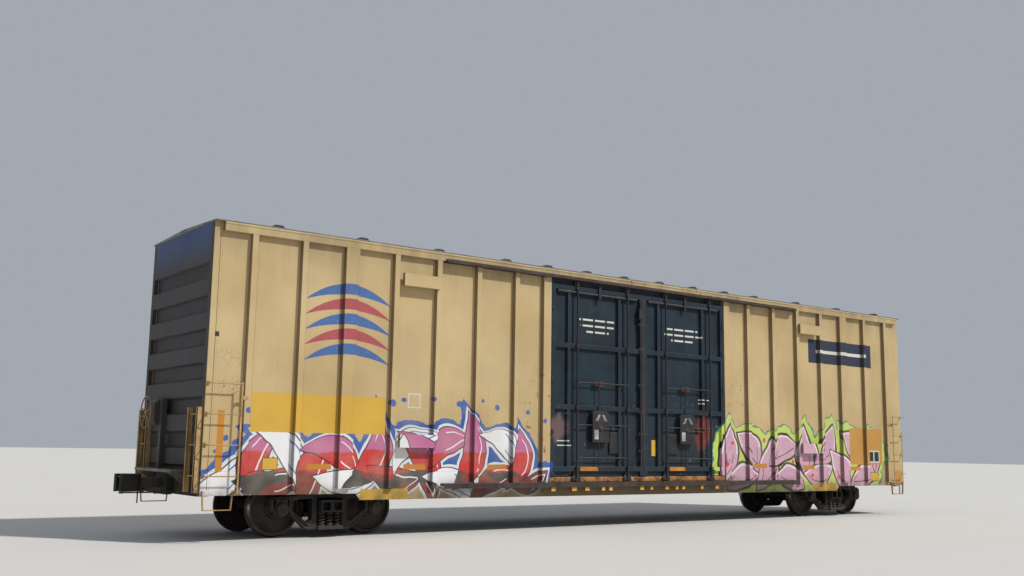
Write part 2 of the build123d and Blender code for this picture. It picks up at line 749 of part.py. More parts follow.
reservoir_near_x = inner_bearer_x + 150.0
reservoir_length = 1050.0
reservoir_y = -700.0
reservoir_radius = 190.0
reservoir_drop = 230.0
with BuildPart() as air_reservoir:
    with BuildSketch(Plane.YZ.offset(reservoir_near_x)):
        with Locations((reservoir_y, floor_under - reservoir_drop)):
            RegularPolygon(reservoir_radius, 16)
    extrude(amount=reservoir_length)
    with BuildSketch(Plane.XY.offset(floor_under)):
        for along in (200.0, reservoir_length - 200.0):
            with Locations((reservoir_near_x + along, reservoir_y)):
                Rectangle(strap_width, 3 * strap_width)
    extrude(amount=-reservoir_drop)
save("air_reservoir", air_reservoir)

valve_x = -520.0
valve_y = -690.0
valve_base = 120.0
valve_body = 210.0
valve_cap_radius = 60.0
valve_cap_half = 50.0
valve_cap_start = 600.0
valve_cap_length = 270.0
with BuildPart() as control_valve:
    with BuildSketch(Plane.XY.offset(floor_under)):
        with Locations((valve_x, valve_y)):
            Rectangle(360, 260)
    extrude(amount=-valve_base)
    with BuildSketch(Plane.XY.offset(floor_under - valve_base)):
        with Locations((valve_x, valve_y)):
            Rectangle(240, 180)
    extrude(amount=-valve_body)
    with BuildSketch(wall_plane(-1, valve_cap_start)):
        for way in (-1, 1):
            with Locations((valve_x + way * valve_cap_half, floor_under - valve_base - valve_cap_radius - 40)):
                RegularPolygon(valve_cap_radius, 8)
    extrude(amount=valve_cap_length)
save("control_valve", control_valve)

# Train pipe on the far side, crossing under the centre sill to the near side at the B end, with angle cocks
train_pipe_radius = 21.0
crossing_x = half_length - 850.0
crossing_z = centre_sill_bottom - 40.0
cock_length = 110.0
cock_half = 34.0
elbow = 66.0
hanger_width = 30.0
with BuildPart() as train_pipe:
    for start, stop, y in ((-crossing_x, half_length + striker_depth, pipe_y),
                           (-half_length - striker_depth, -crossing_x, -pipe_y)):
        with BuildSketch(Plane.YZ.offset(start)):
            with Locations((y, pipe_z)):
                RegularPolygon(train_pipe_radius, 6, major_radius=False)
        extrude(amount=stop - start)
    with BuildSketch(Plane.XZ.offset(-pipe_y)):
        with Locations((-crossing_x, crossing_z)):
            RegularPolygon(train_pipe_radius, 6, major_radius=False)
    extrude(amount=2 * pipe_y)
    for y in (-pipe_y, pipe_y):
        with BuildSketch(Plane.XY.offset(crossing_z - elbow / 2)):
            with Locations((-crossing_x, y)):
                Rectangle(elbow, elbow)
        extrude(amount=pipe_z - crossing_z + elbow)
    with BuildSketch(Plane.XY.offset(pipe_z + train_pipe_radius)):
        for bearer_x in cross_bearer_table:
            with Locations((-bearer_x, pipe_y), (bearer_x, pipe_y)):
                Rectangle(hanger_width, hanger_width)
    extrude(amount=cross_bearer_under - pipe_z - train_pipe_radius)
    for end in (-1, 1):
        with BuildSketch(end_plane(end, half_length + striker_depth)):
            with Locations((pipe_y, pipe_z)):
                Rectangle(2 * cock_half, 2 * cock_half)
        extrude(amount=cock_length)
save("train_pipe", train_pipe)

# Uncoupling levers: a rod on two brackets, bent down at the corner and out to the coupler head
lever_x = half_length + 60.0
lever_z = rail_top + 700.0
lever_half = 12.0
lever_outer = 1330.0
lever_inner = 282.0
lever_handle = 230.0
lever_reach = 640.0
lever_hook = 70.0
with BuildPart() as uncoupling_levers:
    for end in (-1, 1):
        for start, stop, along in ((lever_inner, lever_outer, lever_x),
                                   (lever_hook, lever_inner, lever_x + lever_reach)):
            with BuildSketch(Plane.XZ.offset(end * start)):
                with Locations((end * along, lever_z)):
                    Rectangle(2 * lever_half, 2 * lever_half)
            extrude(amount=end * (stop - start))
        for x, y, height in ((lever_x, lever_outer - lever_half, -lever_handle),
                             (lever_x + lever_reach, lever_hook + lever_half,
                              coupler_z - head_height / 2 - lever_z)):
            with BuildSketch(Plane.XY.offset(lever_z)):
                with Locations((end * x, -end * y)):
                    Rectangle(2 * lever_half, 2 * lever_half)
            extrude(amount=height)
        with BuildSketch(end_plane(end, lever_x - lever_half / 2)):
            with Locations((-lever_inner, lever_z)):
                Rectangle(2 * lever_half, 2 * lever_half)
        extrude(amount=lever_reach + lever_half)
        with BuildSketch(end_plane(end, half_length)):
            with Locations((-1180, lever_z), (-420, lever_z)):
                Rectangle(40, 60)
        extrude(amount=lever_x - half_length)
save("uncoupling_levers", uncoupling_levers)

# Brake rods under the car, hung from the cross bearers
brake_rod_y = 420.0
brake_rod_z = rail_top + 720.0
brake_rod_radius = 14.0
brake_rod_reach = truck_centre - 640.0
with BuildPart() as brake_rods:
    with BuildSketch(Plane.YZ.offset(-brake_rod_reach)):
        with Locations((brake_rod_y, brake_rod_z)):
            RegularPolygon(brake_rod_radius, 6, major_radius=False)
    extrude(amount=2 * brake_rod_reach)
    with BuildSketch(Plane.XY.offset(brake_rod_z + brake_rod_radius)):
        for bearer_x in cross_bearer_table:
            with Locations((-bearer_x, brake_rod_y), (bearer_x, brake_rod_y)):
                Rectangle(hanger_width, hanger_width)
    extrude(amount=cross_bearer_under - brake_rod_z - brake_rod_radius)
save("brake_rods", brake_rods)

# Three-piece trucks: side frames, bolster, spring nests, bearings and brake beams
frame_y = 1003.0
frame_half_y = 80.0
journal_radius = 80.0
journal_fit = 3.3
journal_sides = 12
cup_radius = 122.0
cup_half_width = 95.0
jaw_half = 130.0
jaw_leg = 58.0
jaw_roof = rail_top + 623.0
frame_top = rail_top + 700.0
frame_shoulder = rail_top + 640.0
spring_seat = rail_top + 165.0
frame_bottom = rail_top + 110.0
top_chord = 65.0
bottom_half = 380.0
bolster_bottom = rail_top + 400.0
bolster_top_end = rail_top + 600.0
bolster_half = 212.0
bolster_end_y = 1200.0
bolster_opening_half = 235.0
column = 90.0
web_depth = 30.0
plate_gap = 0.3
brake_beam_x = 335.0
brake_beam_z = axle_z - 110.0
brake_beam_width = 84.0
brake_beam_height = 70.0
shoe_start_y = 715.0
shoe_width = 85.0
shoe_length = 300.0
shoe_thickness = 62.0
shoe_clearance = 14.0
wheel_sides = 20
pocket_wall = 65.0
pocket_depth = 140.0
side_bearing_length = 240.0
side_bearing_width = 110.0
bolster_half_outline = [
    # across the car, height
    (0.0, bearing_plane - centre_plate_base), (350.0, bearing_plane - centre_plate_base),
    (820.0, bolster_top_end + 15), (bolster_end_y, bolster_top_end), (bolster_end_y, bolster_bottom),
    (850.0, bolster_bottom), (350.0, bolster_bottom - 100), (0.0, bolster_bottom - 100),
]
spring_radius = 66.0
spring_pitch = 146.0
spring_row = 80.0
spring_sides = 6
frame_half_outline = [
    # from the truck's middle, height: top of the right half, then down its outer leg and back below
    (0.0, frame_top), (470.0, frame_top), (700.0, frame_shoulder + 30), (1000.0, frame_shoulder + 18),
    (axle_offset + jaw_half + jaw_leg, frame_shoulder - 30), (axle_offset + jaw_half + jaw_leg, axle_z - 8),
    (axle_offset + jaw_half + 12, axle_z - 30), (axle_offset + jaw_half, axle_z - 10),
    (axle_offset + jaw_half, jaw_roof), (axle_offset - jaw_half, jaw_roof),
    (axle_offset - jaw_half, axle_z - 40), (axle_offset - jaw_half - 60, axle_z - 88),
    (bottom_half + 60, frame_bottom + 18), (bottom_half, frame_bottom), (0.0, frame_bottom),
]
window_outline = [
    # the opening between the column and the jaw
    (bolster_opening_half + column, frame_top - top_chord - 6), (650.0, jaw_roof - 16), (690.0, jaw_roof - 50),
    (690.0, axle_z - 20), (640.0, axle_z - 70), (bolster_opening_half + column + 90, spring_seat + 66),
    (bolster_opening_half + column, spring_seat + 110),
]

recess_outline = [
    # the channel in the outer face of the lower chord
    (660.0, axle_z - 80), (672.0, axle_z - 91), (445.0, frame_bottom + 46), (400.0, frame_bottom + 40),
    (400.0, frame_bottom + 66),
]


def truck(end, mark):
    centre = end * truck_centre
    outer_face = Plane(origin=(centre, frame_y + frame_half_y, 0), x_dir=(1, 0, 0), z_dir=(0, -1, 0))
    with BuildPart() as side_frames:
        with BuildSketch(outer_face):
            right = frame_half_outline
            left = [(-x, z) for x, z in frame_half_outline[1:-1]]
            face(*right, *reversed(left))
            with Locations((0, (spring_seat + frame_top - top_chord) / 2)):
                Rectangle(2 * bolster_opening_half, frame_top - top_chord - spring_seat, mode=Mode.SUBTRACT)
            for way in (-1, 1):
                face(*[(way * x, z) for x, z in window_outline], mode=Mode.SUBTRACT)
        extrude(amount=2 * frame_half_y)
        with BuildSketch(outer_face):
            for way in (-1, 1):
                face(*[(way * x, z) for x, z in recess_outline])
        extrude(amount=web_depth, mode=Mode.SUBTRACT)
        with BuildSketch(Plane.XY.offset(frame_bottom)):
            with Locations((centre, frame_y)):
                Rectangle(2 * bolster_opening_half, 2 * (frame_half_y + spring_row))
        extrude(amount=spring_seat - frame_bottom)
        mirror(about=Plane.XZ)
    save(f"side_frames_{mark}", side_frames)

    with BuildPart() as bolster:
        with BuildSketch(Plane.YZ.offset(centre - bolster_half)):
            face(*bolster_half_outline, *[(-y, z) for y, z in reversed(bolster_half_outline[1:-1])])
        extrude(amount=2 * bolster_half)
        for way in (-1, 1):
            with BuildSketch(wall_plane(way, bolster_end_y)):
                for hand in (-1, 1):
                    with Locations((-way * centre + hand * bolster_half / 2, (bolster_top_end + bolster_bottom) / 2)):
                        Rectangle(bolster_half - pocket_wall, bolster_top_end - bolster_bottom - pocket_wall)
            extrude(amount=-pocket_depth, mode=Mode.SUBTRACT)
        with BuildSketch(Plane.XY.offset(bearing_plane - centre_plate_base)):
            with Locations((centre, 0)):
                RegularPolygon(bolster_half, plate_sides)
        extrude(amount=centre_plate_base - plate_gap)
        with BuildSketch(Plane.XY.offset(bolster_top_end)):
            for way in (-1, 1):
                with Locations((centre, way * side_bearing_y)):
                    Rectangle(side_bearing_length, side_bearing_width)
        extrude(amount=bolster_under - wear_plate - side_bearing_gap - bolster_top_end)
    save(f"truck_bolster_{mark}", bolster)

    with BuildPart() as springs:
        with BuildSketch(Plane.XY.offset(spring_seat)):
            for way in (-1, 1):
                with Locations((centre, way * frame_y)):
                    with GridLocations(spring_pitch, 2 * spring_row, 3, 2):
                        RegularPolygon(spring_radius, spring_sides)
        extrude(amount=bolster_bottom - spring_seat)
    save(f"springs_{mark}", springs)

    with BuildPart() as bearings:
        for way in (-1, 1):
            with BuildSketch(Plane(origin=(centre, frame_y + cup_half_width, 0), x_dir=(1, 0, 0),
                                   z_dir=(0, -1, 0))):
                with Locations((way * axle_offset, axle_z)):
                    RegularPolygon(cup_radius, journal_sides, major_radius=False)
                face((way * axle_offset - 100, jaw_roof), (way * axle_offset + 100, jaw_roof),
                     (way * axle_offset + 112, axle_z + 40), (way * axle_offset - 112, axle_z + 40))
                with Locations((way * axle_offset, axle_z)):
                    RegularPolygon(journal_radius + journal_fit, journal_sides, major_radius=False, mode=Mode.SUBTRACT)
            extrude(amount=2 * cup_half_width)
        mirror(about=Plane.XZ)
    save(f"bearings_{mark}", bearings)

    with BuildPart() as beams:
        for way in (-1, 1):
            beam_x = centre + way * brake_beam_x
            with BuildSketch(Plane.XZ.offset(frame_y - frame_half_y)):
                with Locations((beam_x, brake_beam_z)):
                    Rectangle(brake_beam_width, brake_beam_height)
            extrude(amount=-2 * (frame_y - frame_half_y))
            for hand in (-1, 1):
                with BuildSketch(Plane.XZ.offset(-hand * shoe_start_y)):
                    with Locations((centre + way * axle_offset, axle_z)):
                        RegularPolygon(tread_radius + shoe_clearance + shoe_thickness, wheel_sides, major_radius=False)
                        RegularPolygon(tread_radius + shoe_clearance, wheel_sides, major_radius=False, mode=Mode.SUBTRACT)
                    with Locations((beam_x + way * 20, axle_z - 60)):
                        Rectangle(150, shoe_length, mode=Mode.INTERSECT)
                extrude(amount=-hand * shoe_width)
    save(f"brake_beams_{mark}", beams)


truck(-1, "b")
truck(1, "a")

# Wheelsets, drawn with flats to keep the mesh light
wheel_back = 674.0
rim_width = 145.0
wheel_seat_radius = 111.0
wheel_seat_fit = 0.05
axle_body_radius = 92.0
axle_sides = 12
seat_start = 640.0
seat_end = 900.0
journal_end = 1125.0
cap_radius = 100.0
axle_end = 1160.0
hub_sides = 12
hub_radius = 140.0
hub_back = -20.0
hub_front = 158.0
rim_inner_radius = 408.0
axle_table = [
    # from, to across the car, radius
    (-seat_start, seat_start, axle_body_radius),
    (seat_start, seat_end, wheel_seat_radius), (-seat_end, -seat_start, wheel_seat_radius),
    (seat_end, journal_end, journal_radius), (-journal_end, -seat_end, journal_radius),
    (journal_end, axle_end, cap_radius), (-axle_end, -journal_end, cap_radius),
]
plate_table = [
    # plate's back and front, measured from the wheel's back
    (0.0, 32.0),
    (rim_width, 64.0),
]
rim_table = [
    # from, to, radius at each, measured from the wheel's back: flange, then tread
    (0.0, 33.0, tread_radius + flange_height, tread_radius + 4.0),
    (33.0, rim_width, tread_radius + 4.0, tread_radius - 9.0),
]


def flats(x, radius, sides):
    """A polygon about an axle line in the active sketch, with a flat at the bottom."""
    with Locations((x, axle_z)):
        RegularPolygon(radius, sides, major_radius=False, rotation=180 / sides)


def wheelset(number, axle_x):
    """An axle and its two wheels, turned about the line through the journals."""
    with BuildPart() as axle:
        for start, stop, radius in axle_table:
            with BuildSketch(Plane.XZ.offset(-start)):
                flats(axle_x, radius, axle_sides)
            extrude(amount=start - stop)
    save(f"axle_{number}", axle)
    with BuildPart() as wheels:
        for start, stop, wide, narrow in rim_table:
            with BuildSketch(Plane.XZ.offset(-wheel_back - start)):
                flats(axle_x, wide, wheel_sides)
            extrude(amount=start - stop, taper=Vector(stop - start, wide - narrow).get_angle(Vector(1, 0)))
        for open_y, plate_y in plate_table:
            with BuildSketch(Plane.XZ.offset(-wheel_back - open_y)):
                flats(axle_x, rim_inner_radius, wheel_sides)
            extrude(amount=open_y - plate_y, mode=Mode.SUBTRACT)
        with BuildSketch(Plane.XZ.offset(-wheel_back - hub_back)):
            flats(axle_x, hub_radius, hub_sides)
        extrude(amount=hub_back - hub_front)
        with BuildSketch(Plane.XZ.offset(-wheel_back - hub_back)):
            flats(axle_x, wheel_seat_radius + wheel_seat_fit, axle_sides)
        extrude(amount=hub_back - hub_front, mode=Mode.SUBTRACT)
        mirror(about=Plane.XZ)
    save(f"wheels_{number}", wheels)


wheelset(1, -truck_centre - axle_offset)
wheelset(2, -truck_centre + axle_offset)
wheelset(3, truck_centre - axle_offset)
wheelset(4, truck_centre + axle_offset)
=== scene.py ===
import math
import random

import bmesh
import bpy
from mathutils import Matrix, Vector


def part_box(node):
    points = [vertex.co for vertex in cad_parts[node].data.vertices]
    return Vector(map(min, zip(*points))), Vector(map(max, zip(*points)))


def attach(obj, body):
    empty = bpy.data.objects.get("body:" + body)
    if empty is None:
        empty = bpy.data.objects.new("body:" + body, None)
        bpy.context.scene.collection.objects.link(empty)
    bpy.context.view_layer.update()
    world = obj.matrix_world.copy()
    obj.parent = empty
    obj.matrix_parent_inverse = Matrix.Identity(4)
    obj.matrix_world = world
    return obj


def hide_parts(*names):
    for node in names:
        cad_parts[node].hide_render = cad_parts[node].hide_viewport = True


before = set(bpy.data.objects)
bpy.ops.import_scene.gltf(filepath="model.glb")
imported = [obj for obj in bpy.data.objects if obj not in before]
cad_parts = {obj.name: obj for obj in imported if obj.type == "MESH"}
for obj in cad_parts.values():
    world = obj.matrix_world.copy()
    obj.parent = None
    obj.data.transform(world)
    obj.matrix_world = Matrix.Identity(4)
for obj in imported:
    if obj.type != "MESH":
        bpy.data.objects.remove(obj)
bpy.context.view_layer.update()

rng = random.Random(7)

# Levels and faces of the car, read from the frame; heights in the tables below are above the rail
RAIL = 0.0254
HALF_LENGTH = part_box("corner_posts")[1].x
SHEET_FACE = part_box("side_sheets")[1].y
POST_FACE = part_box("side_posts")[1].y
DOOR_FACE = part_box("door_far_left")[1].y
TRACK_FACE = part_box("upper_door_tracks")[1].y
AXLE_Z = (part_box("axle_1")[0].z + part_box("axle_1")[1].z) / 2
TRUCKS = {mark: (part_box(f"springs_{mark}")[0].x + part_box(f"springs_{mark}")[1].x) / 2 for mark in "ba"}


def above_rail(z):
    return z + RAIL


def link(obj):
    bpy.context.scene.collection.objects.link(obj)


# Mesh building
class Shape:
    """Collects vertices and faces of one piece."""

    def __init__(self):
        self.verts = []
        self.faces = []

    def add(self, verts, faces):
        base = len(self.verts)
        self.verts += [tuple(v) for v in verts]
        self.faces += [tuple(base + i for i in f) for f in faces]

    def box(self, lo, hi):
        """A box between two corners."""
        x0, y0, z0 = (min(a, b) for a, b in zip(lo, hi))
        x1, y1, z1 = (max(a, b) for a, b in zip(lo, hi))
        verts = [(x, y, z) for x in (x0, x1) for y in (y0, y1) for z in (z0, z1)]
        self.add(verts, [(0, 1, 3, 2), (4, 6, 7, 5), (0, 4, 5, 1), (2, 3, 7, 6), (0, 2, 6, 4), (1, 5, 7, 3)])

    def prism(self, outline, place, depth):
        """An outline of (a, b) pairs, carried by place(a, b, d) over a depth."""
        n = len(outline)
        verts = [place(a, b, 0) for a, b in outline] + [place(a, b, depth) for a, b in outline]
        sides = [(i, (i + 1) % n, n + (i + 1) % n, n + i) for i in range(n)]
        self.add(verts, [tuple(reversed(range(n))), tuple(range(n, 2 * n))] + sides)

    def tube(self, path, radius, sides=12, closed=False):
        """A round bar along a list of points."""
        points = [Vector(p) for p in path]
        n = len(points)
        rings = []
        normal = None
        for i, p in enumerate(points):
            before = points[i - 1] if i or closed else p
            after = points[(i + 1) % n] if i < n - 1 or closed else p
            along = (after - before).normalized()
            if normal is None:
                normal = along.orthogonal().normalized()
            normal = (normal - along * normal.dot(along)).normalized()
            side = along.cross(normal)
            rings.append([p + (normal * math.cos(t) + side * math.sin(t)) * radius
                          for t in (2 * math.pi * k / sides for k in range(sides))])
        verts = [v for ring in rings for v in ring]
        faces = []
        for i in range(n if closed else n - 1):
            a, b = i * sides, (i + 1) % n * sides
            faces += [(a + k, b + k, b + (k + 1) % sides, a + (k + 1) % sides) for k in range(sides)]
        if not closed:
            faces += [tuple(reversed(range(sides))), tuple(range((n - 1) * sides, n * sides))]
        self.add(verts, faces)

    def turned(self, profile, centre, axis="y", steps=48, flip=1):
        """A profile of (along, radius) pairs turned about an axis line through centre."""
        verts, faces = [], []
        for along, radius in profile:
            for k in range(steps):
                t = 2 * math.pi * k / steps
                a, b = radius * math.cos(t), radius * math.sin(t)
                offset = (a, flip * along, b) if axis == "y" else (flip * along, a, b)
                verts.append(Vector(centre) + Vector(offset))
        for i in range(len(profile) - 1):
            a, b = i * steps, (i + 1) * steps
            faces += [(a + k, b + k, b + (k + 1) % steps, a + (k + 1) % steps) for k in range(steps)]
        if profile[0][1] > 0 and profile[0] != profile[-1]:
            faces.append(tuple(reversed(range(steps))))
            faces.append(tuple(range((len(profile) - 1) * steps, len(profile) * steps)))
        self.add(verts, faces)

    def bolt(self, place, normal, size=0.022, height=0.014):
        """A hexagon head standing on a surface."""
        normal = Vector(normal).normalized()
        a = normal.orthogonal().normalized()
        b = normal.cross(a)
        ring = [Vector(place) + (a * math.cos(t) + b * math.sin(t)) * size / 2
                for t in (math.pi * k / 3 for k in range(6))]
        top = [p + normal * height for p in ring]
        self.add(ring + top, [tuple(range(6, 12))] + [(i, (i + 1) % 6, 6 + (i + 1) % 6, 6 + i) for i in range(6)])

    def make(self, name, body, material, bevel=0.0, replaces=(), slot=None, smooth=35):
        """Turns the collected faces into an object that rides on a body."""
        mesh = bpy.data.meshes.new(name)
        mesh.from_pydata(self.verts, [], self.faces)
        mesh.validate()
        obj = bpy.data.objects.new(name, mesh)
        link(obj)
        tidy_normals(obj)
        soften(mesh, smooth)
        mesh.materials.append(material)
        if bevel:
            round_edges(obj, bevel)
        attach(obj, body)
        if replaces:
            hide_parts(*replaces)
        return obj


def tidy_normals(obj):
    """Faces of each closed form point outward."""
    work = bmesh.new()
    work.from_mesh(obj.data)
    bmesh.ops.recalc_face_normals(work, faces=work.faces)
    work.to_mesh(obj.data)
    work.free()


def soften(mesh, degrees):
    mesh.polygons.foreach_set("use_smooth", [True] * len(mesh.polygons))
    mesh.set_sharp_from_angle(angle=math.radians(degrees))


def round_edges(obj, width, segments=2, weld=False):
    """Small radii on the sharp edges of a piece."""
    if weld:
        join = obj.modifiers.new("join", "WELD")
        join.merge_threshold = 0.0001
    edge = obj.modifiers.new("edges", "BEVEL")
    edge.width = width
    edge.segments = segments
    edge.limit_method = "ANGLE"
    edge.angle_limit = math.radians(40)
    edge.harden_normals = False
    edge.use_clamp_overlap = True


# Materials
def rgb(r, g, b):
    """Screen colour from 0 to 255, as linear light."""
    linear = [(c / 255 / 12.92) if c / 255 <= 0.04045 else ((c / 255 + 0.055) / 1.055) ** 2.4 for c in (r, g, b)]
    return (*linear, 1.0)


class Term:
    """A value in a node tree, so that node maths reads as arithmetic."""

    def __init__(self, net, socket):
        self.net = net
        self.socket = socket

    def __add__(self, other):
        return self.net.math("ADD", self, other)

    def __sub__(self, other):
        return self.net.math("SUBTRACT", self, other)

    def __rsub__(self, other):
        return self.net.math("SUBTRACT", other, self)

    def __mul__(self, other):
        return self.net.math("MULTIPLY", self, other)

    def __truediv__(self, other):
        return self.net.math("DIVIDE", self, other)

    def __abs__(self):
        return self.net.math("ABSOLUTE", self)

    __radd__, __rmul__ = __add__, __mul__

    def lay(self, cover, paint):
        """Puts a paint over this colour, as far as the cover goes."""
        self.socket = self.net.mix(cover, self, paint).socket

    def ramp(self, low, high, to_low=0.0, to_high=1.0):
        """to_low up to low, to_high from high on, and a smooth step between."""
        made = self.net.node("ShaderNodeMapRange", interpolation_type="SMOOTHSTEP",
                             inputs={"Value": self, "From Min": low, "From Max": high,
                                     "To Min": to_low, "To Max": to_high})
        return Term(self.net, made.outputs[0])


class Net:
    """Short names for the nodes of one tree."""

    def __init__(self, tree):
        self.tree = tree

    def node(self, kind, inputs=(), **settings):
        made = self.tree.nodes.new(kind)
        for key, value in settings.items():
            setattr(made, key, value)
        for key, value in dict(inputs).items():
            self.feed(made.inputs[key], value)
        return made

    def feed(self, socket, value):
        if isinstance(value, Term):
            value = value.socket
        if isinstance(value, bpy.types.NodeSocket):
            self.tree.links.new(value, socket)
        else:
            socket.default_value = value

    def math(self, operation, a, b=0.0, clamp=False):
        made = self.node("ShaderNodeMath", operation=operation, use_clamp=clamp)
        self.feed(made.inputs[0], a)
        self.feed(made.inputs[1], b)
        return Term(self, made.outputs[0])

    def mix(self, factor, a, b):
        made = self.node("ShaderNodeMix", data_type="RGBA")
        self.feed(made.inputs[0], factor)
        self.feed(made.inputs[6], a)
        self.feed(made.inputs[7], b)
        return Term(self, made.outputs[2])

    def noise(self, place, scale, detail=4.0, rough=0.55, stretch=None):
        if stretch:
            place = self.vector("MULTIPLY", place, stretch)
        made = self.node("ShaderNodeTexNoise",
                         inputs={"Vector": place, "Scale": scale, "Detail": detail, "Roughness": rough})
        return Term(self, made.outputs["Fac"])

    def vector(self, operation, a, b=(0, 0, 0)):
        made = self.node("ShaderNodeVectorMath", operation=operation)
        self.feed(made.inputs[0], a)
        self.feed(made.inputs[1], b)
        return Term(self, made.outputs["Value" if operation in ("LENGTH", "DOT_PRODUCT") else "Vector"])

    def facing(self):
        """The surface's direction, as x, y and z."""
        return self.split(self.node("ShaderNodeNewGeometry").outputs["Normal"])

    def place(self):
        return self.node("ShaderNodeTexCoord").outputs["Object"]

    def split(self, vector):
        return self.parts(self.node("ShaderNodeSeparateXYZ", inputs={0: vector}))

    def parts(self, node):
        return [Term(self, socket) for socket in node.outputs]

    def join(self, x, y, z=0.0):
        return self.node("ShaderNodeCombineXYZ", inputs={0: x, 1: y, 2: z}).outputs[0]

    def grouped(self, tree, **given):
        """The first output of a node group, whose inputs are named with _ for a space."""
        inputs = {name.replace("_", " "): value for name, value in given.items()}
        return Term(self, self.node("ShaderNodeGroup", inputs, node_tree=tree).outputs[0])

    def finish(self, shader, colour, rough, normal):
        """Feeds the three sockets that every paint has."""
        for label, value in (("Base Color", colour), ("Roughness", rough), ("Normal", normal)):
            self.feed(shader.inputs[label], value)

    def bump(self, height, strength, distance, below=None):
        inputs = {"Height": height, "Strength": strength, "Distance": distance}
        if below is not None:
            inputs["Normal"] = below
        return self.node("ShaderNodeBump", inputs=inputs).outputs[0]


def new_material(name):
    """A material, its node helper and its shader."""
    material = bpy.data.materials.new(name)
    material.use_nodes = True
    tree = material.node_tree
    return material, Net(tree), tree.nodes["Principled BSDF"]


def group(name, inputs, outputs, build):
    """A node group built once from lists of (name, socket type)."""
    tree = bpy.data.node_groups.new(name, "ShaderNodeTree")
    for label, kind in inputs:
        tree.interface.new_socket(label, in_out="INPUT", socket_type=kind)
    for label, kind in outputs:
        tree.interface.new_socket(label, in_out="OUTPUT", socket_type=kind)
    net = Net(tree)
    source = net.node("NodeGroupInput").outputs
    results = build(net, {label: Term(net, source[label]) for label, _ in inputs})
    sink = net.node("NodeGroupOutput")
    for (label, _), value in zip(outputs, results):
        net.feed(sink.inputs[label], value)
    return tree


FLOAT, VECTOR, COLOUR = "NodeSocketFloat", "NodeSocketVector", "NodeSocketColor"


def build_patch(net, given):
    """1 inside a rectangle with soft edges, 0 outside."""
    away = net.vector("ABSOLUTE", net.vector("SUBTRACT", given["Place"], given["Middle"]))
    parts = net.split(net.vector("SUBTRACT", away, given["Half"]))
    furthest = net.math("MAXIMUM", parts[0], parts[1])
    return [furthest.ramp(-0.003, 0.003, 1.0, 0.0)]


def build_swoosh(net, given):
    """How far a point lies outside a bent leaf, in metres."""
    turned = net.node("ShaderNodeVectorRotate", rotation_type="Z_AXIS",
                      inputs={"Vector": given["Place"], "Center": given["Middle"], "Angle": given["Angle"]})
    parts = net.split(net.vector("SUBTRACT", turned.outputs[0], given["Middle"]))
    along = parts[0] / given["Half length"]
    square = along * along
    across = abs(parts[1] - square * given["Bend"])
    width = given["Half width"] * (1.0 - square)
    return [across - width]


patch_group = group("patch", [("Place", VECTOR), ("Middle", VECTOR), ("Half", VECTOR)],
                    [("Inside", FLOAT)], build_patch)
swoosh_group = group("swoosh", [("Place", VECTOR), ("Middle", VECTOR), ("Angle", FLOAT), ("Half length", FLOAT),
                                ("Half width", FLOAT), ("Bend", FLOAT)], [("Outside", FLOAT)], build_swoosh)


def patch(net, place, low_u, high_u, low_z, high_z):
    return net.grouped(patch_group, Place=place, Middle=((low_u + high_u) / 2, (low_z + high_z) / 2, 0),
                       Half=((high_u - low_u) / 2, (high_z - low_z) / 2, 1))


def swoosh(net, place, u, z, half_length, half_width, degrees, bend):
    return net.grouped(swoosh_group, Place=place, Middle=(u, z, 0), Angle=-math.radians(degrees),
                       Half_length=half_length, Half_width=half_width, Bend=bend)


def build_side_place(net, given):
    """A side as its viewer sees it: right along the car, height above the rail, and 1 on the near side."""
    x, y, z = net.split(net.place())
    near = net.math("LESS_THAN", y, 0.0)
    toward = near * 2.0 - 1.0
    return [net.join(x * toward, z - RAIL), near]


side_group = group("side place", [], [("Place", VECTOR), ("Near", FLOAT)], build_side_place)

# Free spray design: bent leaves on the left, petals with a glow on the right
LEFT_LEAVES = [
    # along, height, half length, half width, degrees, bend, fill
    (-9.00, 0.96, 0.66, 0.20, 34, 0.22, "white"),
    (-8.62, 1.26, 0.70, 0.24, 70, -0.30, "heat"),
    (-8.20, 0.90, 0.70, 0.22, 10, 0.16, "heat"),
    (-7.98, 1.44, 0.64, 0.22, 128, 0.30, "white"),
    (-7.58, 1.12, 0.74, 0.27, 66, -0.26, "heat"),
    (-7.06, 1.42, 0.66, 0.25, 150, 0.34, "heat"),
    (-6.84, 0.90, 0.70, 0.22, 6, 0.18, "white"),
    (-6.36, 1.30, 0.76, 0.26, 62, 0.34, "heat"),
    (-5.94, 0.92, 0.62, 0.22, 172, -0.20, "heat"),
    (-5.72, 1.60, 0.62, 0.22, 36, -0.32, "white"),
    (-5.30, 1.24, 0.78, 0.27, 118, 0.28, "heat"),
    (-4.90, 1.62, 0.62, 0.24, 26, -0.28, "heat"),
    (-4.70, 0.92, 0.66, 0.22, 158, 0.20, "white"),
    (-4.26, 1.40, 0.74, 0.27, 78, 0.32, "heat"),
    (-3.82, 0.96, 0.68, 0.23, 20, -0.22, "heat"),
    (-3.56, 1.62, 0.56, 0.21, 140, 0.28, "white"),
    (-3.16, 1.26, 0.62, 0.24, 74, 0.22, "heat"),
    (-2.92, 0.84, 0.42, 0.17, 24, 0.10, "heat"),
]
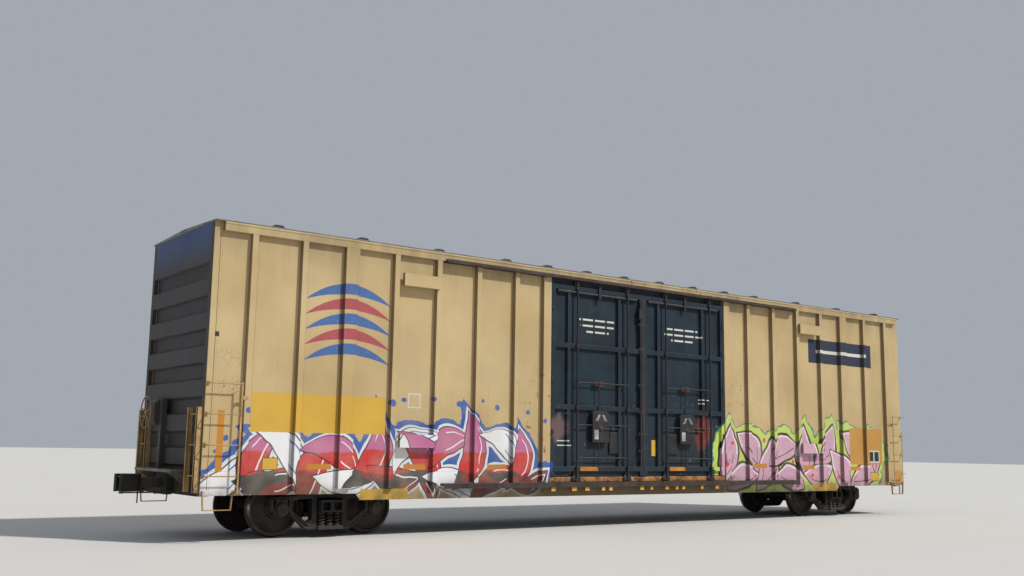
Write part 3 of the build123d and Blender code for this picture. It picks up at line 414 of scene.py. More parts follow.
RIGHT_PETALS = [
    # along, height, half length, half width, degrees, bend
    (2.70, 1.46, 0.66, 0.32, 78, 0.12),
    (3.14, 0.98, 0.58, 0.27, 16, -0.14),
    (3.50, 1.62, 0.58, 0.30, 128, 0.18),
    (4.08, 1.16, 0.66, 0.32, 66, 0.16),
    (4.60, 1.62, 0.60, 0.31, 20, -0.22),
    (4.86, 0.96, 0.58, 0.27, 164, 0.14),
    (5.40, 1.44, 0.70, 0.33, 104, -0.16),
    (5.96, 0.98, 0.58, 0.27, 10, 0.14),
    (6.30, 1.62, 0.60, 0.31, 52, 0.18),
    (6.86, 1.10, 0.64, 0.30, 122, 0.14),
    (7.32, 1.66, 0.60, 0.30, 160, -0.20),
    (7.74, 0.98, 0.60, 0.27, 14, -0.12),
    (8.22, 1.50, 0.60, 0.28, 96, 0.14),
]
DOTS = [
    # along, height, radius
    (-9.06, 1.62, 0.05), (-8.74, 2.06, 0.055), (-6.08, 2.26, 0.06), (-5.80, 2.34, 0.045), (-4.62, 2.30, 0.055),
    (-3.02, 2.20, 0.05), (-7.50, 2.06, 0.04), (-2.66, 2.04, 0.045), (-5.20, 2.36, 0.04), (-3.76, 2.28, 0.05),
    (-9.22, 1.40, 0.04), (-4.10, 2.36, 0.035), (-6.40, 2.14, 0.035),
]
RED_DOTS = [(2.56, 1.22, 0.06), (3.58, 0.98, 0.04), (3.92, 1.78, 0.05), (4.96, 1.30, 0.055), (5.70, 0.98, 0.045),
            (6.12, 1.74, 0.05), (6.72, 0.94, 0.045), (2.84, 1.72, 0.045)]


def nearest(net, distances):
    """The least of several distances."""
    least = distances[0]
    for other in distances[1:]:
        least = net.math("MINIMUM", least, other)
    return least


def ring_dots(net, place, dots):
    """Distance outside the nearest of several round dots."""
    away = []
    for u, z, radius in dots:
        offset = net.vector("SUBTRACT", place, (u, z, 0))
        away.append(net.vector("LENGTH", offset) - radius)
    return nearest(net, away)


def inside(net, distance, edge=0.0, soft=0.004):
    """1 where the distance is less than an edge."""
    return distance.ramp(edge - soft, edge + soft, 1.0, 0.0)


def hand_drawn(net, place):
    """The place with a slight wobble, its parts, and a soft cloud."""
    wobble = net.node("ShaderNodeTexNoise", inputs={"Vector": place, "Scale": 2.6, "Detail": 1.0})
    drift = net.vector("MULTIPLY", net.vector("SUBTRACT", wobble.outputs["Color"], (0.5, 0.5, 0.5)), (0.12, 0.12, 0))
    return net.vector("ADD", place, drift), net.split(place), net.noise(place, 5.5, 1.0)


def sprayed(net, place, level, cover):
    """Cover of sprayed paint: worn through in specks, and none under the sills."""
    worn = net.noise(place, 60.0, 2.0).ramp(0.16, 0.3)
    return cover * worn * level.ramp(0.58, 0.6)


def build_left(net, given):
    """Colour and cover of the leaves with a blue cloud."""
    place = given["Place"]
    hand, parts, cloud = hand_drawn(net, place)
    height = parts[1] + net.noise(place, 1.7, 1.0) * 0.22
    pink, red = rgb(186, 96, 146), rgb(196, 32, 38)
    heat = net.mix(height.ramp(1.52, 1.55), red, pink)
    heat = net.mix(height.ramp(1.17, 1.2), rgb(52, 50, 56), heat)
    maroon = net.noise(place, 1.1, 0.0).ramp(0.5, 0.52) * height.ramp(1.2, 1.17)
    heat.lay(maroon, rgb(128, 22, 30))
    leaves = [swoosh(net, hand, *row[:6]) for row in LEFT_LEAVES]
    every_leaf = nearest(net, leaves)
    puff = every_leaf - cloud * 0.16
    dots = inside(net, ring_dots(net, hand, DOTS))
    high = (height + cloud * 0.5).ramp(1.1, 1.2)
    blue = net.math("MAXIMUM", inside(net, puff, 0.09) * high, dots)
    white = inside(net, every_leaf, 0.065)
    colour = net.mix(white, rgb(18, 80, 160), rgb(216, 218, 222))
    for (u, z, length, width, degrees, bend, fill), leaf in zip(LEFT_LEAVES, leaves):
        paint = heat if fill == "heat" else rgb(230, 231, 235)
        colour.lay(inside(net, leaf, 0.016), rgb(20, 18, 24))
        colour.lay(inside(net, leaf, -0.004), paint)
        line = abs(leaf + 0.42 * width)
        half = (parts[0] - u).ramp(-0.02, 0.02)
        trim = rgb(232, 232, 236) if fill == "heat" else rgb(60, 110, 190)
        colour.lay(inside(net, line, 0.011) * half, trim)
    return [colour, sprayed(net, place, parts[1], net.math("MAXIMUM", blue, white))]


def build_right(net, given):
    """Colour and cover of the petals with a lime glow."""
    place = given["Place"]
    hand, parts, cloud = hand_drawn(net, place)
    petals = [swoosh(net, hand, *row) for row in RIGHT_PETALS]
    every_petal = nearest(net, petals)
    glow = every_petal - cloud * 0.2
    colour = net.mix(inside(net, glow, 0.115, 0.02), rgb(44, 112, 122), rgb(184, 206, 92))
    colour.lay(inside(net, every_petal, 0.05), rgb(16, 15, 18))
    rose = net.mix(net.noise(place, 9.0, 3.0), rgb(188, 140, 166), rgb(210, 166, 190))
    for (u, z, length, width, degrees, bend), petal in zip(RIGHT_PETALS, petals):
        colour.lay(inside(net, petal, 0.026), rgb(18, 16, 20))
        colour.lay(inside(net, petal, -0.006), rose)
        line = abs(petal + 0.5 * width)
        half = (parts[1] - z).ramp(0.02, -0.02)
        colour.lay(inside(net, line, 0.013) * half, rgb(72, 34, 60))
        rim = abs(petal + 0.04)
        gleam = inside(net, rim, 0.02, 0.012) * (1.0 - half)
        colour.lay(gleam, rgb(228, 216, 226))
    colour.lay(inside(net, ring_dots(net, hand, RED_DOTS)), rgb(206, 44, 64))
    return [colour, sprayed(net, place, parts[1], inside(net, glow, 0.155, 0.008))]


SPRAYS = {"left": group("left spray", [("Place", VECTOR)], [("Colour", COLOUR), ("Cover", FLOAT)], build_left),
          "right": group("right spray", [("Place", VECTOR)], [("Colour", COLOUR), ("Cover", FLOAT)], build_right)}


def spray(net, place, near, colour, which, fade=0.0):
    """Lays one of the sprayed designs over a colour."""
    design = net.node("ShaderNodeGroup", node_tree=SPRAYS[which], inputs={"Place": place})
    paint = design.outputs["Colour"]
    if fade:
        paint = net.mix(net.noise(place, 2.2, 3.0).ramp(0.3, 0.75, 0.02, fade), paint, rgb(196, 184, 160))
    return net.mix(design.outputs["Cover"] * near, colour, paint)


FIRST_POST, POST_PITCH, POST_HALF = 3.37, 0.9, 0.095
BEYOND = 20  # a place past both ends of the car
HEADER_AREA, CRAZED_AREA, SPECK_AREA = (-2.505, 2.505, 4.70, 4.90), (-9.3, -8.86, 2.34, 3.02), (-9.28, -8.92, 2.26, 2.5)
DASH_PITCH, DASH_SHARE = 0.33, 0.84
SPRAY_FADE = 0.24


# Car body paint: chalky tan with grime, rust at the edges, plates and the spray design
def common_wear(net, place, colour, rough, rust_amount=0.5):
    """Adds blotches, fine rust freckles and a dusty film to a colour; returns colour and roughness."""
    blotch = net.noise(place, 0.9, 5.0, 0.6)
    tint = net.mix(blotch.ramp(0.3, 0.7), (0.9, 0.9, 0.9, 1), (1.04, 1.04, 1.04, 1))
    made = net.node("ShaderNodeMix", data_type="RGBA", blend_type="MULTIPLY")
    made.inputs[0].default_value = 1.0
    net.feed(made.inputs[6], colour)
    net.feed(made.inputs[7], tint)
    colour = Term(net, made.outputs[2])
    freckles = net.noise(place, 26.0, 6.0, 0.7)
    spots = freckles.ramp(0.66, 0.72) * blotch.ramp(0.45, 0.6)
    rust = net.mix(net.noise(place, 40.0, 3.0), rgb(92, 44, 22), rgb(150, 84, 40))
    colour.lay(spots * rust_amount, rust)
    rough = net.math("ADD", rough, spots * 0.25, clamp=True)
    return colour, rough


def edge_wear(net, radius=0.012):
    """1 on exposed edges: where a rounded normal leaves the true one."""
    rounded = net.node("ShaderNodeBevel", samples=4, inputs={"Radius": radius})
    true = net.node("ShaderNodeNewGeometry").outputs["Normal"]
    same = net.vector("DOT_PRODUCT", rounded.outputs[0], true)
    return same.ramp(0.985, 0.9)


def plain_material(name, dark, light, rough, metal, grain, depth, edge, dust, streaks):
    """Aged metal or paint: two tones, speckles, worn edges, dust on upward faces."""
    material, net, shader = new_material(name)
    place = net.place()
    tone = net.noise(place, 3.2, 6.0, 0.62)
    fine = net.noise(place, grain, 5.0, 0.6)
    colour = net.mix((tone * 0.65 + fine * 0.35).ramp(0.36, 0.64), rgb(*dark), rgb(*light))
    if streaks:
        lines = net.noise(place, 9.0, 4.0, 0.6, (1.0, 1.0, 0.07))
        colour.lay(lines.ramp(0.52, 0.72) * streaks, rgb(110, 62, 34))
    if edge:
        bare = edge_wear(net) * fine.ramp(0.38, 0.56)
        colour.lay(bare, rgb(*edge))
    up = net.facing()[2]
    film = up.ramp(0.35, 0.95) * tone.ramp(0.25, 0.6) * dust
    colour.lay(film, rgb(150, 134, 112))
    rough = fine.ramp(0.25, 0.75, rough - 0.12, min(1.0, rough + 0.15))
    shader.inputs["Metallic"].default_value = metal
    net.finish(shader, colour, rough, net.bump(fine + tone, 0.5, depth))
    return material


def plate(net, place, near, colour, rows, low=-BEYOND, high=BEYOND):
    """Flat areas on the near side between two places; an area is low u, high u, low z, high z."""
    for paint, areas in rows:
        areas = [area for area in areas if low < area[0] < high]
        if not areas:
            continue
        cover = patch(net, place, *areas[0])
        for area in areas[1:]:
            cover = net.math("MAXIMUM", cover, patch(net, place, *area))
        colour.lay(cover * near, paint)
    return colour


TAN = rgb(196, 173, 128)
TAN_DEEP = rgb(186, 161, 114)
YELLOW, AMBER, CREAM = rgb(206, 164, 60), rgb(190, 126, 38), rgb(208, 207, 200)
NAVY_PLATE, OCHRE, DARK_SIGN = rgb(34, 44, 66), rgb(188, 140, 66), rgb(38, 36, 38)
TINT_BLUE, TINT_RED, HEADER = rgb(62, 100, 158), rgb(166, 74, 82), rgb(22, 27, 36)
UNDER_PLATES = [
    (NAVY_PLATE, [(5.65, 8.22, 3.70, 4.28)]),
    (CREAM, [(5.95, 7.90, 3.95, 4.03), (-5.73, -5.47, 2.20, 2.46)]),
    (TAN, [(-5.71, -5.49, 2.22, 2.44)]),
]
OVER_PLATES = [
    (DARK_SIGN, [(-8.44, -8.17, 1.11, 1.31), (8.05, 8.37, 0.83, 1.05), (-9.345, -9.275, 3.21, 3.29),
                 (-9.340, -9.332, 0.80, 4.86)]),
    (YELLOW, [(-8.67, -6.18, 1.72, 2.36), (-8.43, -8.18, 1.12, 1.30), (8.06, 8.36, 0.84, 1.04),
              (-6.63, -5.68, 0.605, 0.79), (5.68, 6.63, 0.605, 0.79)]),
    (OCHRE, [(7.10, 8.58, 1.24, 2.14), (9.08, 9.36, 0.74, 1.10)]),
    (AMBER, [(-9.22, -9.11, 1.085, 2.05), (-7.65, -7.20, 1.12, 1.21), (-5.79, -5.33, 1.12, 1.21),
             (-3.97, -3.53, 1.12, 1.21), (3.56, 4.02, 1.15, 1.25), (5.33, 5.78, 1.12, 1.21), (7.15, 7.62, 1.10, 1.19)]),
    (CREAM, [(7.97, 8.45, 1.29, 1.59)]),
    (DARK_SIGN, [(8.00, 8.19, 1.32, 1.56), (8.23, 8.42, 1.32, 1.56)]),
]
# Five arched bars high on the left, blue and red in turn
BARS_U = -6.97
BARS = [(TINT_BLUE, (3.16, 3.68, 4.20)), (TINT_RED, (3.42, 3.94))]


def arched_bars(net, place, near, colour):
    """Paints the bars over a colour, faded and chipped."""
    chips = net.noise(place, 34.0, 5.0, 0.7).ramp(0.3, 0.42) * near
    for paint, levels in BARS:
        bars = [swoosh(net, place, BARS_U, z, 0.84, 0.095, 0, -0.24) for z in levels]
        colour.lay(inside(net, nearest(net, bars)) * chips, paint)
    return colour


def side_paint(name, designs, buckled=False):
    """The tan side, for faces that carry the left design, the right one, both or none."""
    material, net, shader = new_material(name)
    place, near = net.parts(net.node("ShaderNodeGroup", node_tree=side_group))
    flat = net.place()
    level = net.split(place)[1]
    along = net.split(place)[0]
    broad = net.noise(place, 0.55, 3.0, 0.5)
    colour = net.mix(broad.ramp(0.35, 0.65), TAN_DEEP, TAN)
    lower = level.ramp(2.6, 0.9)
    colour.lay(lower * 0.35, rgb(172, 146, 98))
    pale = net.noise(place, 5.0, 6.0, 0.62, (1.0, 0.22, 1.0))
    colour.lay(pale.ramp(0.5, 0.85, 0.0, 0.32), rgb(204, 186, 148))
    low, high = (-BEYOND if "left" in designs else 0), (BEYOND if "right" in designs else 0)
    upper = len(designs) == 1
    if upper:
        colour = plate(net, place, near, colour, UNDER_PLATES, low, high)
    if designs == ["left"]:
        colour = arched_bars(net, place, near, colour)

    # rain streaks, each paler or darker, finer toward the top
    lines = net.noise(place, 7.0, 5.0, 0.7, (1.0, 0.035, 1.0))
    colour.lay(lines.ramp(0.56, 0.86, 0.0, 0.35), rgb(120, 98, 64))
    soot = level.ramp(4.3, 5.05) * net.noise(place, 2.4, 4.0, 0.6, (1.0, 0.2, 1.0)).ramp(0.3, 0.7, 0.1, 0.5)
    colour.lay(soot, rgb(112, 98, 76))

    for which in designs:
        colour = spray(net, place, near, colour, which, SPRAY_FADE)
    colour = plate(net, place, near, colour, OVER_PLATES, low, high)

    # painted shade on the flanks of posts, dark header over the doors, painted shade on the backs of the corner posts
    shaded_flank = abs(net.facing()[0]).ramp(0.5, 0.9)
    colour.lay(shaded_flank * 0.62, rgb(84, 62, 46))
    colour.lay(patch(net, place, *HEADER_AREA), HEADER)
    # painted shade: the inward faces of the corner posts, behind the side sheets, are darkened
    shaded_backs = abs(along).ramp(9.37, 9.39) * abs(net.split(flat)[1]).ramp(SHEET_FACE - 0.004, SHEET_FACE - 0.008)
    colour.lay(shaded_backs, rgb(58, 54, 52))
    # crazed paint and rust specks by the ladder, fine seams beside the posts
    if designs == ["left"]:
        cracks = net.node("ShaderNodeTexVoronoi", feature="DISTANCE_TO_EDGE", inputs={"Vector": place, "Scale": 7.0})
        crazed = Term(net, cracks.outputs["Distance"]).ramp(0.022, 0.008) * patch(net, place, *CRAZED_AREA)
        crazed = crazed * net.noise(place, 4.0, 3.0).ramp(0.44, 0.56)
        colour.lay(crazed * 0.6, rgb(112, 84, 56))
        specks = net.noise(place, 22.0, 6.0, 0.75).ramp(0.56, 0.6) * patch(net, place, *SPECK_AREA)
        colour.lay(specks, rgb(92, 58, 36))
    if upper:
        step = net.math("FRACT", (abs(along) - (FIRST_POST - POST_HALF)) / POST_PITCH)
        seam = abs(step - 0.004).ramp(0.006, 0.003) * abs(along).ramp(2.8, 2.9)
        colour.lay(seam * 0.35, rgb(104, 82, 54))

    # rust: runs below the roof edge and above the sills, scabs near the door
    grime = level.ramp(1.05, 0.6) * net.noise(place, 3.0, 5.0, 0.65).ramp(0.28, 0.62, 0.15, 0.7)
    below_doors = abs(along).ramp(4.4, 2.2) * level.ramp(0.86, 0.78)
    grime = net.math("MAXIMUM", grime, below_doors * 0.85)
    colour.lay(grime, rgb(78, 68, 46))
    from_door = abs(along).ramp(4.6, 2.6)
    scabs = net.noise(place, 6.5, 8.0, 0.72, (1.0, 0.75, 1.0))
    scab_line = 0.6 + (1.0 - from_door) * 0.07
    scab = (scabs - scab_line).ramp(0.0, 0.02)
    scab = scab * net.math("MAXIMUM", level.ramp(3.4, 2.7), level.ramp(4.75, 4.9))
    rust = net.mix(net.noise(place, 30.0, 4.0), rgb(98, 50, 28), rgb(152, 88, 44))
    colour.lay(scab * 0.85, rust)
    bleed = net.noise(place, 14.0, 3.0, 0.6, (1.0, 0.05, 1.0))
    bleed = bleed.ramp(0.62, 0.78) * (level.ramp(3.6, 2.2) * from_door)
    colour.lay(bleed * 0.45, rgb(150, 96, 52))
    fine = net.noise(flat, 55.0, 5.0, 0.65)
    worn = edge_wear(net, 0.01) * fine.ramp(0.44, 0.6)
    colour.lay(worn * 0.8, rust)
    colour, rough = common_wear(net, flat, colour, pale.ramp(0.2, 0.8, 0.5, 0.72), 0.65)
    up = net.facing()[2]
    colour.lay(up.ramp(0.5, 0.95, 0.0, 0.55), rgb(128, 112, 84))

    relief = net.bump(fine + scab, 0.35, 0.0015)
    if buckled:
        # thin sheets pull in between the frames behind them
        waves = net.noise(place, 1.3, 1.0, 0.4, (1.0, 0.45, 1.0))
        relief = net.bump(waves, 0.5, 0.012, relief)
    net.finish(shader, colour, rough, relief)
    return material


def end_paint(name):
    """End walls in dark grey, partly soot and partly painted shade, with a blue top, streaks down the corrugations and
    painted shade in their recesses.
    """
    material, net, shader = new_material(name)
    place = net.place()
    level = net.split(place)[2]
    broad = net.noise(place, 0.8, 4.0, 0.55)
    # the base greys are darker than the sides' tan: soot together with painted shade
    colour = net.mix(broad.ramp(0.35, 0.65), rgb(50, 51, 54), rgb(70, 67, 65))
    lines = net.noise(place, 8.0, 5.0, 0.7, (1.0, 1.0, 0.04))
    colour.lay(lines.ramp(0.45, 0.8, 0.0, 0.7), rgb(46, 42, 40))
    colour.lay((level + lines * 0.5).ramp(4.62, 5.22), rgb(60, 80, 118))
    # painted shade: faces set back in the corrugations are darker the deeper they lie
    colour.lay(abs(net.split(place)[0]).ramp(9.43, 9.38, 0.0, 0.55), rgb(34, 34, 38))
    up = net.facing()[2]
    colour.lay(up.ramp(0.1, 0.7, 0.0, 0.75), rgb(66, 60, 54))
    colour.lay(level.ramp(2.0, 0.9) * 0.6, rgb(52, 48, 45))
    fine = net.noise(place, 50.0, 5.0, 0.65)
    worn = edge_wear(net, 0.012) * fine.ramp(0.42, 0.6)
    rust = net.mix(net.noise(place, 30.0, 4.0), rgb(62, 48, 42), rgb(104, 82, 62))
    colour.lay(worn * 0.8, rust)
    colour, rough = common_wear(net, place, colour, broad.ramp(0.2, 0.8, 0.52, 0.74), 0.8)
    dents = net.noise(place, 2.2, 3.0)
    net.finish(shader, colour, rough, net.bump(dents, 0.5, 0.02, net.bump(fine, 0.3, 0.0015)))
    return material


DOOR_PLATES = [
    (YELLOW, [(0.28, 0.40, 1.40, 1.73)]),
    (CREAM, [(-1.34, -1.18, 1.70, 1.90), (1.16, 1.32, 1.72, 1.93)]),
]
# Rows of plain dashes where a door has a notice
DOOR_DASHES = [
    (-1.74, -0.79, 4.117, 4.155), (-1.71, -0.8, 3.995, 4.033), (-1.55, -0.94, 3.873, 3.911),
    (0.76, 1.72, 4.117, 4.155), (0.68, 1.82, 3.995, 4.033), (0.89, 1.56, 3.873, 3.911),
    (-2.33, -1.98, 1.669, 1.691), (-2.3, -1.94, 1.579, 1.601), (1.72, 2.06, 2.619, 2.641), (1.72, 1.98, 2.539, 2.561),
]


def door_paint(name, designs):
    """Navy leaves: dusty below the middle, chipped ribs, warm rust spots and spill of the spray design."""
    material, net, shader = new_material(name)
    place, near = net.parts(net.node("ShaderNodeGroup", node_tree=side_group))
    flat = net.place()
    level = net.split(place)[1]
    broad = net.noise(place, 1.3, 5.0, 0.6)
    colour = net.mix(broad.ramp(0.32, 0.68), rgb(8, 26, 38), rgb(16, 42, 56))
    pale = net.noise(place, 6.0, 6.0, 0.65, (1.0, 0.15, 1.0))
    colour.lay(pale.ramp(0.5, 0.85, 0.0, 0.4), rgb(38, 66, 80))
    dusty = level.ramp(2.7, 1.5) * net.noise(place, 3.4, 6.0, 0.7).ramp(0.3, 0.66, 0.25, 1.0)
    colour.lay(dusty * 0.5, rgb(44, 49, 54))
    # spray mist, torn stickers and scuffs low down
    for row, mist in (((-2.30, 1.92, 0.30, 0.20, 80, 0.0), rgb(136, 104, 104)),
                      ((1.86, 1.92, 0.42, 0.24, 78, 0.0), rgb(142, 60, 44))):
        reach = swoosh(net, place, *row) + net.noise(place, 5.0, 7.0, 0.75) * 0.5
        colour.lay(reach.ramp(0.36, 0.16, 0.0, 0.55) * near, mist)
    scuffs = net.noise(place, 5.0, 8.0, 0.8).ramp(0.625, 0.655) * (level.ramp(2.9, 2.2) * near)
    colour.lay(scuffs, rgb(176, 180, 186))
    colour = plate(net, place, near, colour, DOOR_PLATES)
    dash = net.math("LESS_THAN", net.math("FRACT", net.split(place)[0] / DASH_PITCH), DASH_SHARE)
    chipped = net.noise(place, 30.0, 4.0, 0.7).ramp(0.3, 0.42) * (near * dash)
    colour = plate(net, place, chipped, colour, [(CREAM, DOOR_DASHES)])
    for which in designs:
        colour = spray(net, place, near, colour, which)
    fine = net.noise(flat, 45.0, 6.0, 0.7)
    worn = edge_wear(net, 0.012) * fine.ramp(0.4, 0.56)
    rust = net.mix(net.noise(place, 22.0, 4.0), rgb(104, 52, 34), rgb(176, 96, 60))
    patches = net.noise(place, 4.2, 8.0, 0.75).ramp(0.62, 0.66) * level.ramp(3.1, 1.8)
    colour.lay(patches * 0.8, rust)
    colour.lay(worn * 0.85, rgb(98, 88, 80))
    colour, rough = common_wear(net, flat, colour, pale.ramp(0.2, 0.8, 0.46, 0.72), 0.8)
    up = net.facing()[2]
    colour.lay(up.ramp(0.4, 0.9, 0.0, 0.7), rgb(84, 74, 64))
    shader.inputs["Specular IOR Level"].default_value = 0.35
    relief = net.bump(fine + patches, 0.4, 0.002)
    net.finish(shader, colour, rough, net.bump(net.noise(place, 2.0, 2.0), 0.5, 0.02, relief))
    return material


def three_paints(name, buckled=False):
    """Paints for the near side left and right of the doors, and for the far side."""
    return [side_paint(f"{name}_{hand}", [] if hand == "plain" else [hand], buckled)
            for hand in ("left", "right", "plain")]


body_paints, sheet_paints = three_paints("body_paint"), three_paints("sheet_paint", True)
body_paint = body_paints[2]
wall_paint = end_paint("end_paint")
leaf_paints = {"door_near_left": door_paint("door_paint_left", ["left"]),
               "door_near_right": door_paint("door_paint_right", ["right"]),
               "door_far_left": door_paint("door_paint", [])}
leaf_paints["door_far_right"] = leaf_paints["door_far_left"]
PLAIN = [
    # name, dark, light, roughness, metal, grain, depth of relief, worn edge, dust, streaks
    ("door_gear_paint", (12, 16, 24), (30, 36, 44), 0.58, 0.0, 60.0, 0.002, (88, 66, 54), 0.25, 0.25),
    ("track_steel", (40, 34, 34), (70, 62, 60), 0.55, 0.2, 60.0, 0.002, (112, 80, 58), 0.3, 0.35),
    ("threshold_rust", (64, 38, 28), (188, 132, 74), 0.82, 0.0, 7.0, 0.004, (206, 172, 106), 0.2, 0.6),
    ("bracket_rust", (48, 33, 30), (90, 58, 46), 0.8, 0.0, 40.0, 0.003, None, 0.2, 0.0),
    ("reflector_amber", (170, 104, 24), (206, 140, 44), 0.35, 0.0, 30.0, 0.0006, None, 0.2, 0.15),
    ("roof_coating", (104, 105, 104), (144, 144, 140), 0.68, 0.15, 22.0, 0.002, (92, 80, 70), 0.25, 0.2),
    ("roof_seam_steel", (36, 42, 50), (66, 70, 76), 0.5, 0.4, 30.0, 0.002, (96, 84, 74), 0.15, 0.0),
    ("cast_steel", (26, 24, 24), (54, 50, 47), 0.72, 0.1, 70.0, 0.004, (88, 70, 56), 0.45, 0.0),
    ("truck_fittings", (24, 23, 23), (54, 49, 45), 0.66, 0.2, 70.0, 0.003, (96, 76, 60), 0.4, 0.0),
    ("spring_steel", (40, 34, 30), (84, 72, 62), 0.55, 0.3, 90.0, 0.001, None, 0.3, 0.0),
    ("wheel_steel", (36, 32, 30), (68, 58, 52), 0.68, 0.3, 50.0, 0.003, (110, 84, 66), 0.2, 0.0),
    ("tread_steel", (126, 122, 118), (188, 184, 178), 0.28, 0.95, 120.0, 0.0005, None, 0.0, 0.0),
    ("underframe_black", (24, 22, 21), (54, 48, 42), 0.75, 0.1, 60.0, 0.003, (86, 62, 46), 0.4, 0.3),
    ("galvanized_steel", (92, 90, 86), (150, 146, 138), 0.5, 0.55, 30.0, 0.001, (120, 86, 62), 0.3, 0.0),
    ("bar_paint", (150, 122, 78), (196, 164, 108), 0.55, 0.0, 50.0, 0.001, (112, 70, 44), 0.3, 0.0),
    ("brake_wheel_paint", (120, 96, 64), (176, 150, 108), 0.55, 0.1, 40.0, 0.001, (104, 64, 42), 0.3, 0.4),
    ("scuffed_white", (120, 122, 124), (198, 199, 196), 0.6, 0.0, 30.0, 0.0004, (70, 66, 64), 0.1, 0.0),
    ("tab_yellow", (190, 140, 36), (232, 184, 58), 0.55, 0.0, 40.0, 0.001, (110, 70, 40), 0.3, 0.0),
]
(gear_paint, track_steel, threshold_rust, bracket_rust, reflector_amber, roof_coating, seam_steel, casting, fitting,
 spring_steel, wheel_steel, tread_steel, under_black, galvanized, bar_paint, wheel_paint, scuffed_white,
 tab_yellow) = (plain_material(*row) for row in PLAIN)


# Materials of the nodes that stay
def dress(node, *materials):
    obj = bpy.data.objects[node]
    obj.data.materials.clear()
    for material in materials:
        obj.data.materials.append(material)
    return obj


def by_hand(obj):
    """Near faces left of the middle, near faces right of it and the far side each take their own of three paints."""
    for face in obj.data.polygons:
        face.material_index = 2 if face.center.y > 0 else (0 if face.center.x < 0 else 1)


for material, names in (
        (body_paint, "side_plates hand_brake_housing"), (wall_paint, "end_wall_a end_wall_b"), (roof_coating, "roof"),
        (track_steel, "upper_door_tracks lower_door_tracks"),
        (under_black, "floor centre_sill body_bolsters cross_bearers end_sills centre_plates uncoupling_levers"),
        (under_black, "air_reservoir brake_cylinder control_valve train_pipe brake_rods"),
        (galvanized, "crossover_platforms"),
        (casting, "couplers knuckles side_frames_a side_frames_b truck_bolster_a truck_bolster_b"),
        (gear_paint, "door_gear_boxes door_lock_pipes door_operating_rods"), (wheel_paint, "hand_brake_wheel"),
        (spring_steel, "springs_a springs_b"), (fitting, "bearings_a bearings_b brake_beams_a brake_beams_b")):
    for name in names.split():
        dress(name, material)
for name, material in leaf_paints.items():
    dress(name, material)
for name, paints in (("side_sheets", sheet_paints), ("side_posts", body_paints), ("corner_posts", body_paints),
                     ("door_stops", body_paints)):
    by_hand(dress(name, *paints))

# The sills run the whole length, so their faces are cut at the middle of the car for the two paints
halves = bmesh.new()
halves.from_mesh(bpy.data.objects["side_sills"].data)
everything = halves.verts[:] + halves.edges[:] + halves.faces[:]
bmesh.ops.bisect_plane(halves, geom=everything, plane_co=(0, 0, 0), plane_no=(1, 0, 0))
sill_mesh = bpy.data.meshes.new("side_sill_pair")
halves.to_mesh(sill_mesh)
halves.free()
sills = bpy.data.objects.new("side_sill_pair", sill_mesh)
link(sills)
by_hand(dress("side_sill_pair", *body_paints))
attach(sills, "car_body")
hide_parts("side_sills")

# Trucks: wheels, axles, bearings, springs and castings
TREAD = AXLE_Z - RAIL
HUB_REACH = 0.158
CAP_BOLTS = 0.062
WHEEL_RIM = [
    # distance outward from the flange's back, radius
    (0.000, 0.411), (0.000, 0.474), (0.004, 0.4815), (0.011, 0.4826), (0.021, 0.480), (0.028, 0.471), (0.034, 0.4600),
    (0.132, 0.4480), (0.143, 0.4445), (0.1448, 0.438), (0.1448, 0.412), (0.140, 0.406), (0.098, 0.402), (0.080, 0.390),
    (0.066, 0.352), (0.060, 0.290), (0.066, 0.226), (0.084, 0.178), (0.110, 0.160), (0.150, 0.152), (0.157, 0.144),
    (0.158, 0.128), (0.152, 0.119), (-0.014, 0.119), (-0.019, 0.128), (-0.018, 0.146), (-0.012, 0.152), (0.018, 0.158),
    (0.034, 0.176), (0.034, 0.226), (0.028, 0.290), (0.032, 0.352), (0.036, 0.384), (0.026, 0.400), (0.004, 0.405),
    (0.000, 0.411),
]
WHEEL_TREAD = [
    (0.034, 0.4595), (0.034, 0.4614), (0.042, TREAD + 0.0005), (0.090, TREAD - 0.0030), (0.132, TREAD - 0.0078),
    (0.143, 0.4448), (0.132, 0.4475), (0.034, 0.4595),
]

for number in (1, 2, 3, 4):
    body = f"wheelset_{number}"
    lo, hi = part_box(f"wheels_{number}")
    middle = (lo.x + hi.x) / 2
    back = hi.y - HUB_REACH
    rims, treads = Shape(), Shape()
    for side in (-1, 1):
        rims.turned(WHEEL_RIM, (middle, side * back, AXLE_Z), "y", 72, side)
        treads.turned(WHEEL_TREAD, (middle, side * back, AXLE_Z), "y", 72, side)
    rims.make(f"wheel_pair_{number}", body, wheel_steel, replaces=[f"wheels_{number}"], slot="wheel_steel", smooth=30)
    treads.make(f"wheel_treads_{number}", body, tread_steel, slot="wheel_steel", smooth=30)

    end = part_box(f"axle_{number}")[1].y
    shaft = Shape()
    half = [(0, 0.088), (0.55, 0.091), (0.62, 0.098), (0.66, 0.111), (0.70, 0.1115), (0.865, 0.1115), (0.872, 0.104),
            (0.890, 0.086), (0.900, 0.0825), (end - 0.035, 0.0825)]
    shaft.turned([(-a, r) for a, r in reversed(half[1:])] + half, (middle, 0, AXLE_Z), "y", 32)
    for side in (-1, 1):
        shaft.turned([(end - 0.035, 0.060), (end - 0.035, 0.097), (end - 0.030, 0.0995), (end - 0.016, 0.0995),
                      (end - 0.011, 0.092), (end - 0.010, 0.040), (end - 0.006, 0.034)],
                     (middle, 0, AXLE_Z), "y", 32, side)
        for k in range(3):
            t = math.radians(90 + 120 * k)
            shaft.bolt((middle + CAP_BOLTS * math.cos(t), side * (end - 0.0105), AXLE_Z + CAP_BOLTS * math.sin(t)),
                       (0, side, 0), 0.040, 0.010)
    shaft.make(f"axle_and_caps_{number}", body, wheel_steel, replaces=[f"axle_{number}"], slot="wheel_steel", smooth=30)


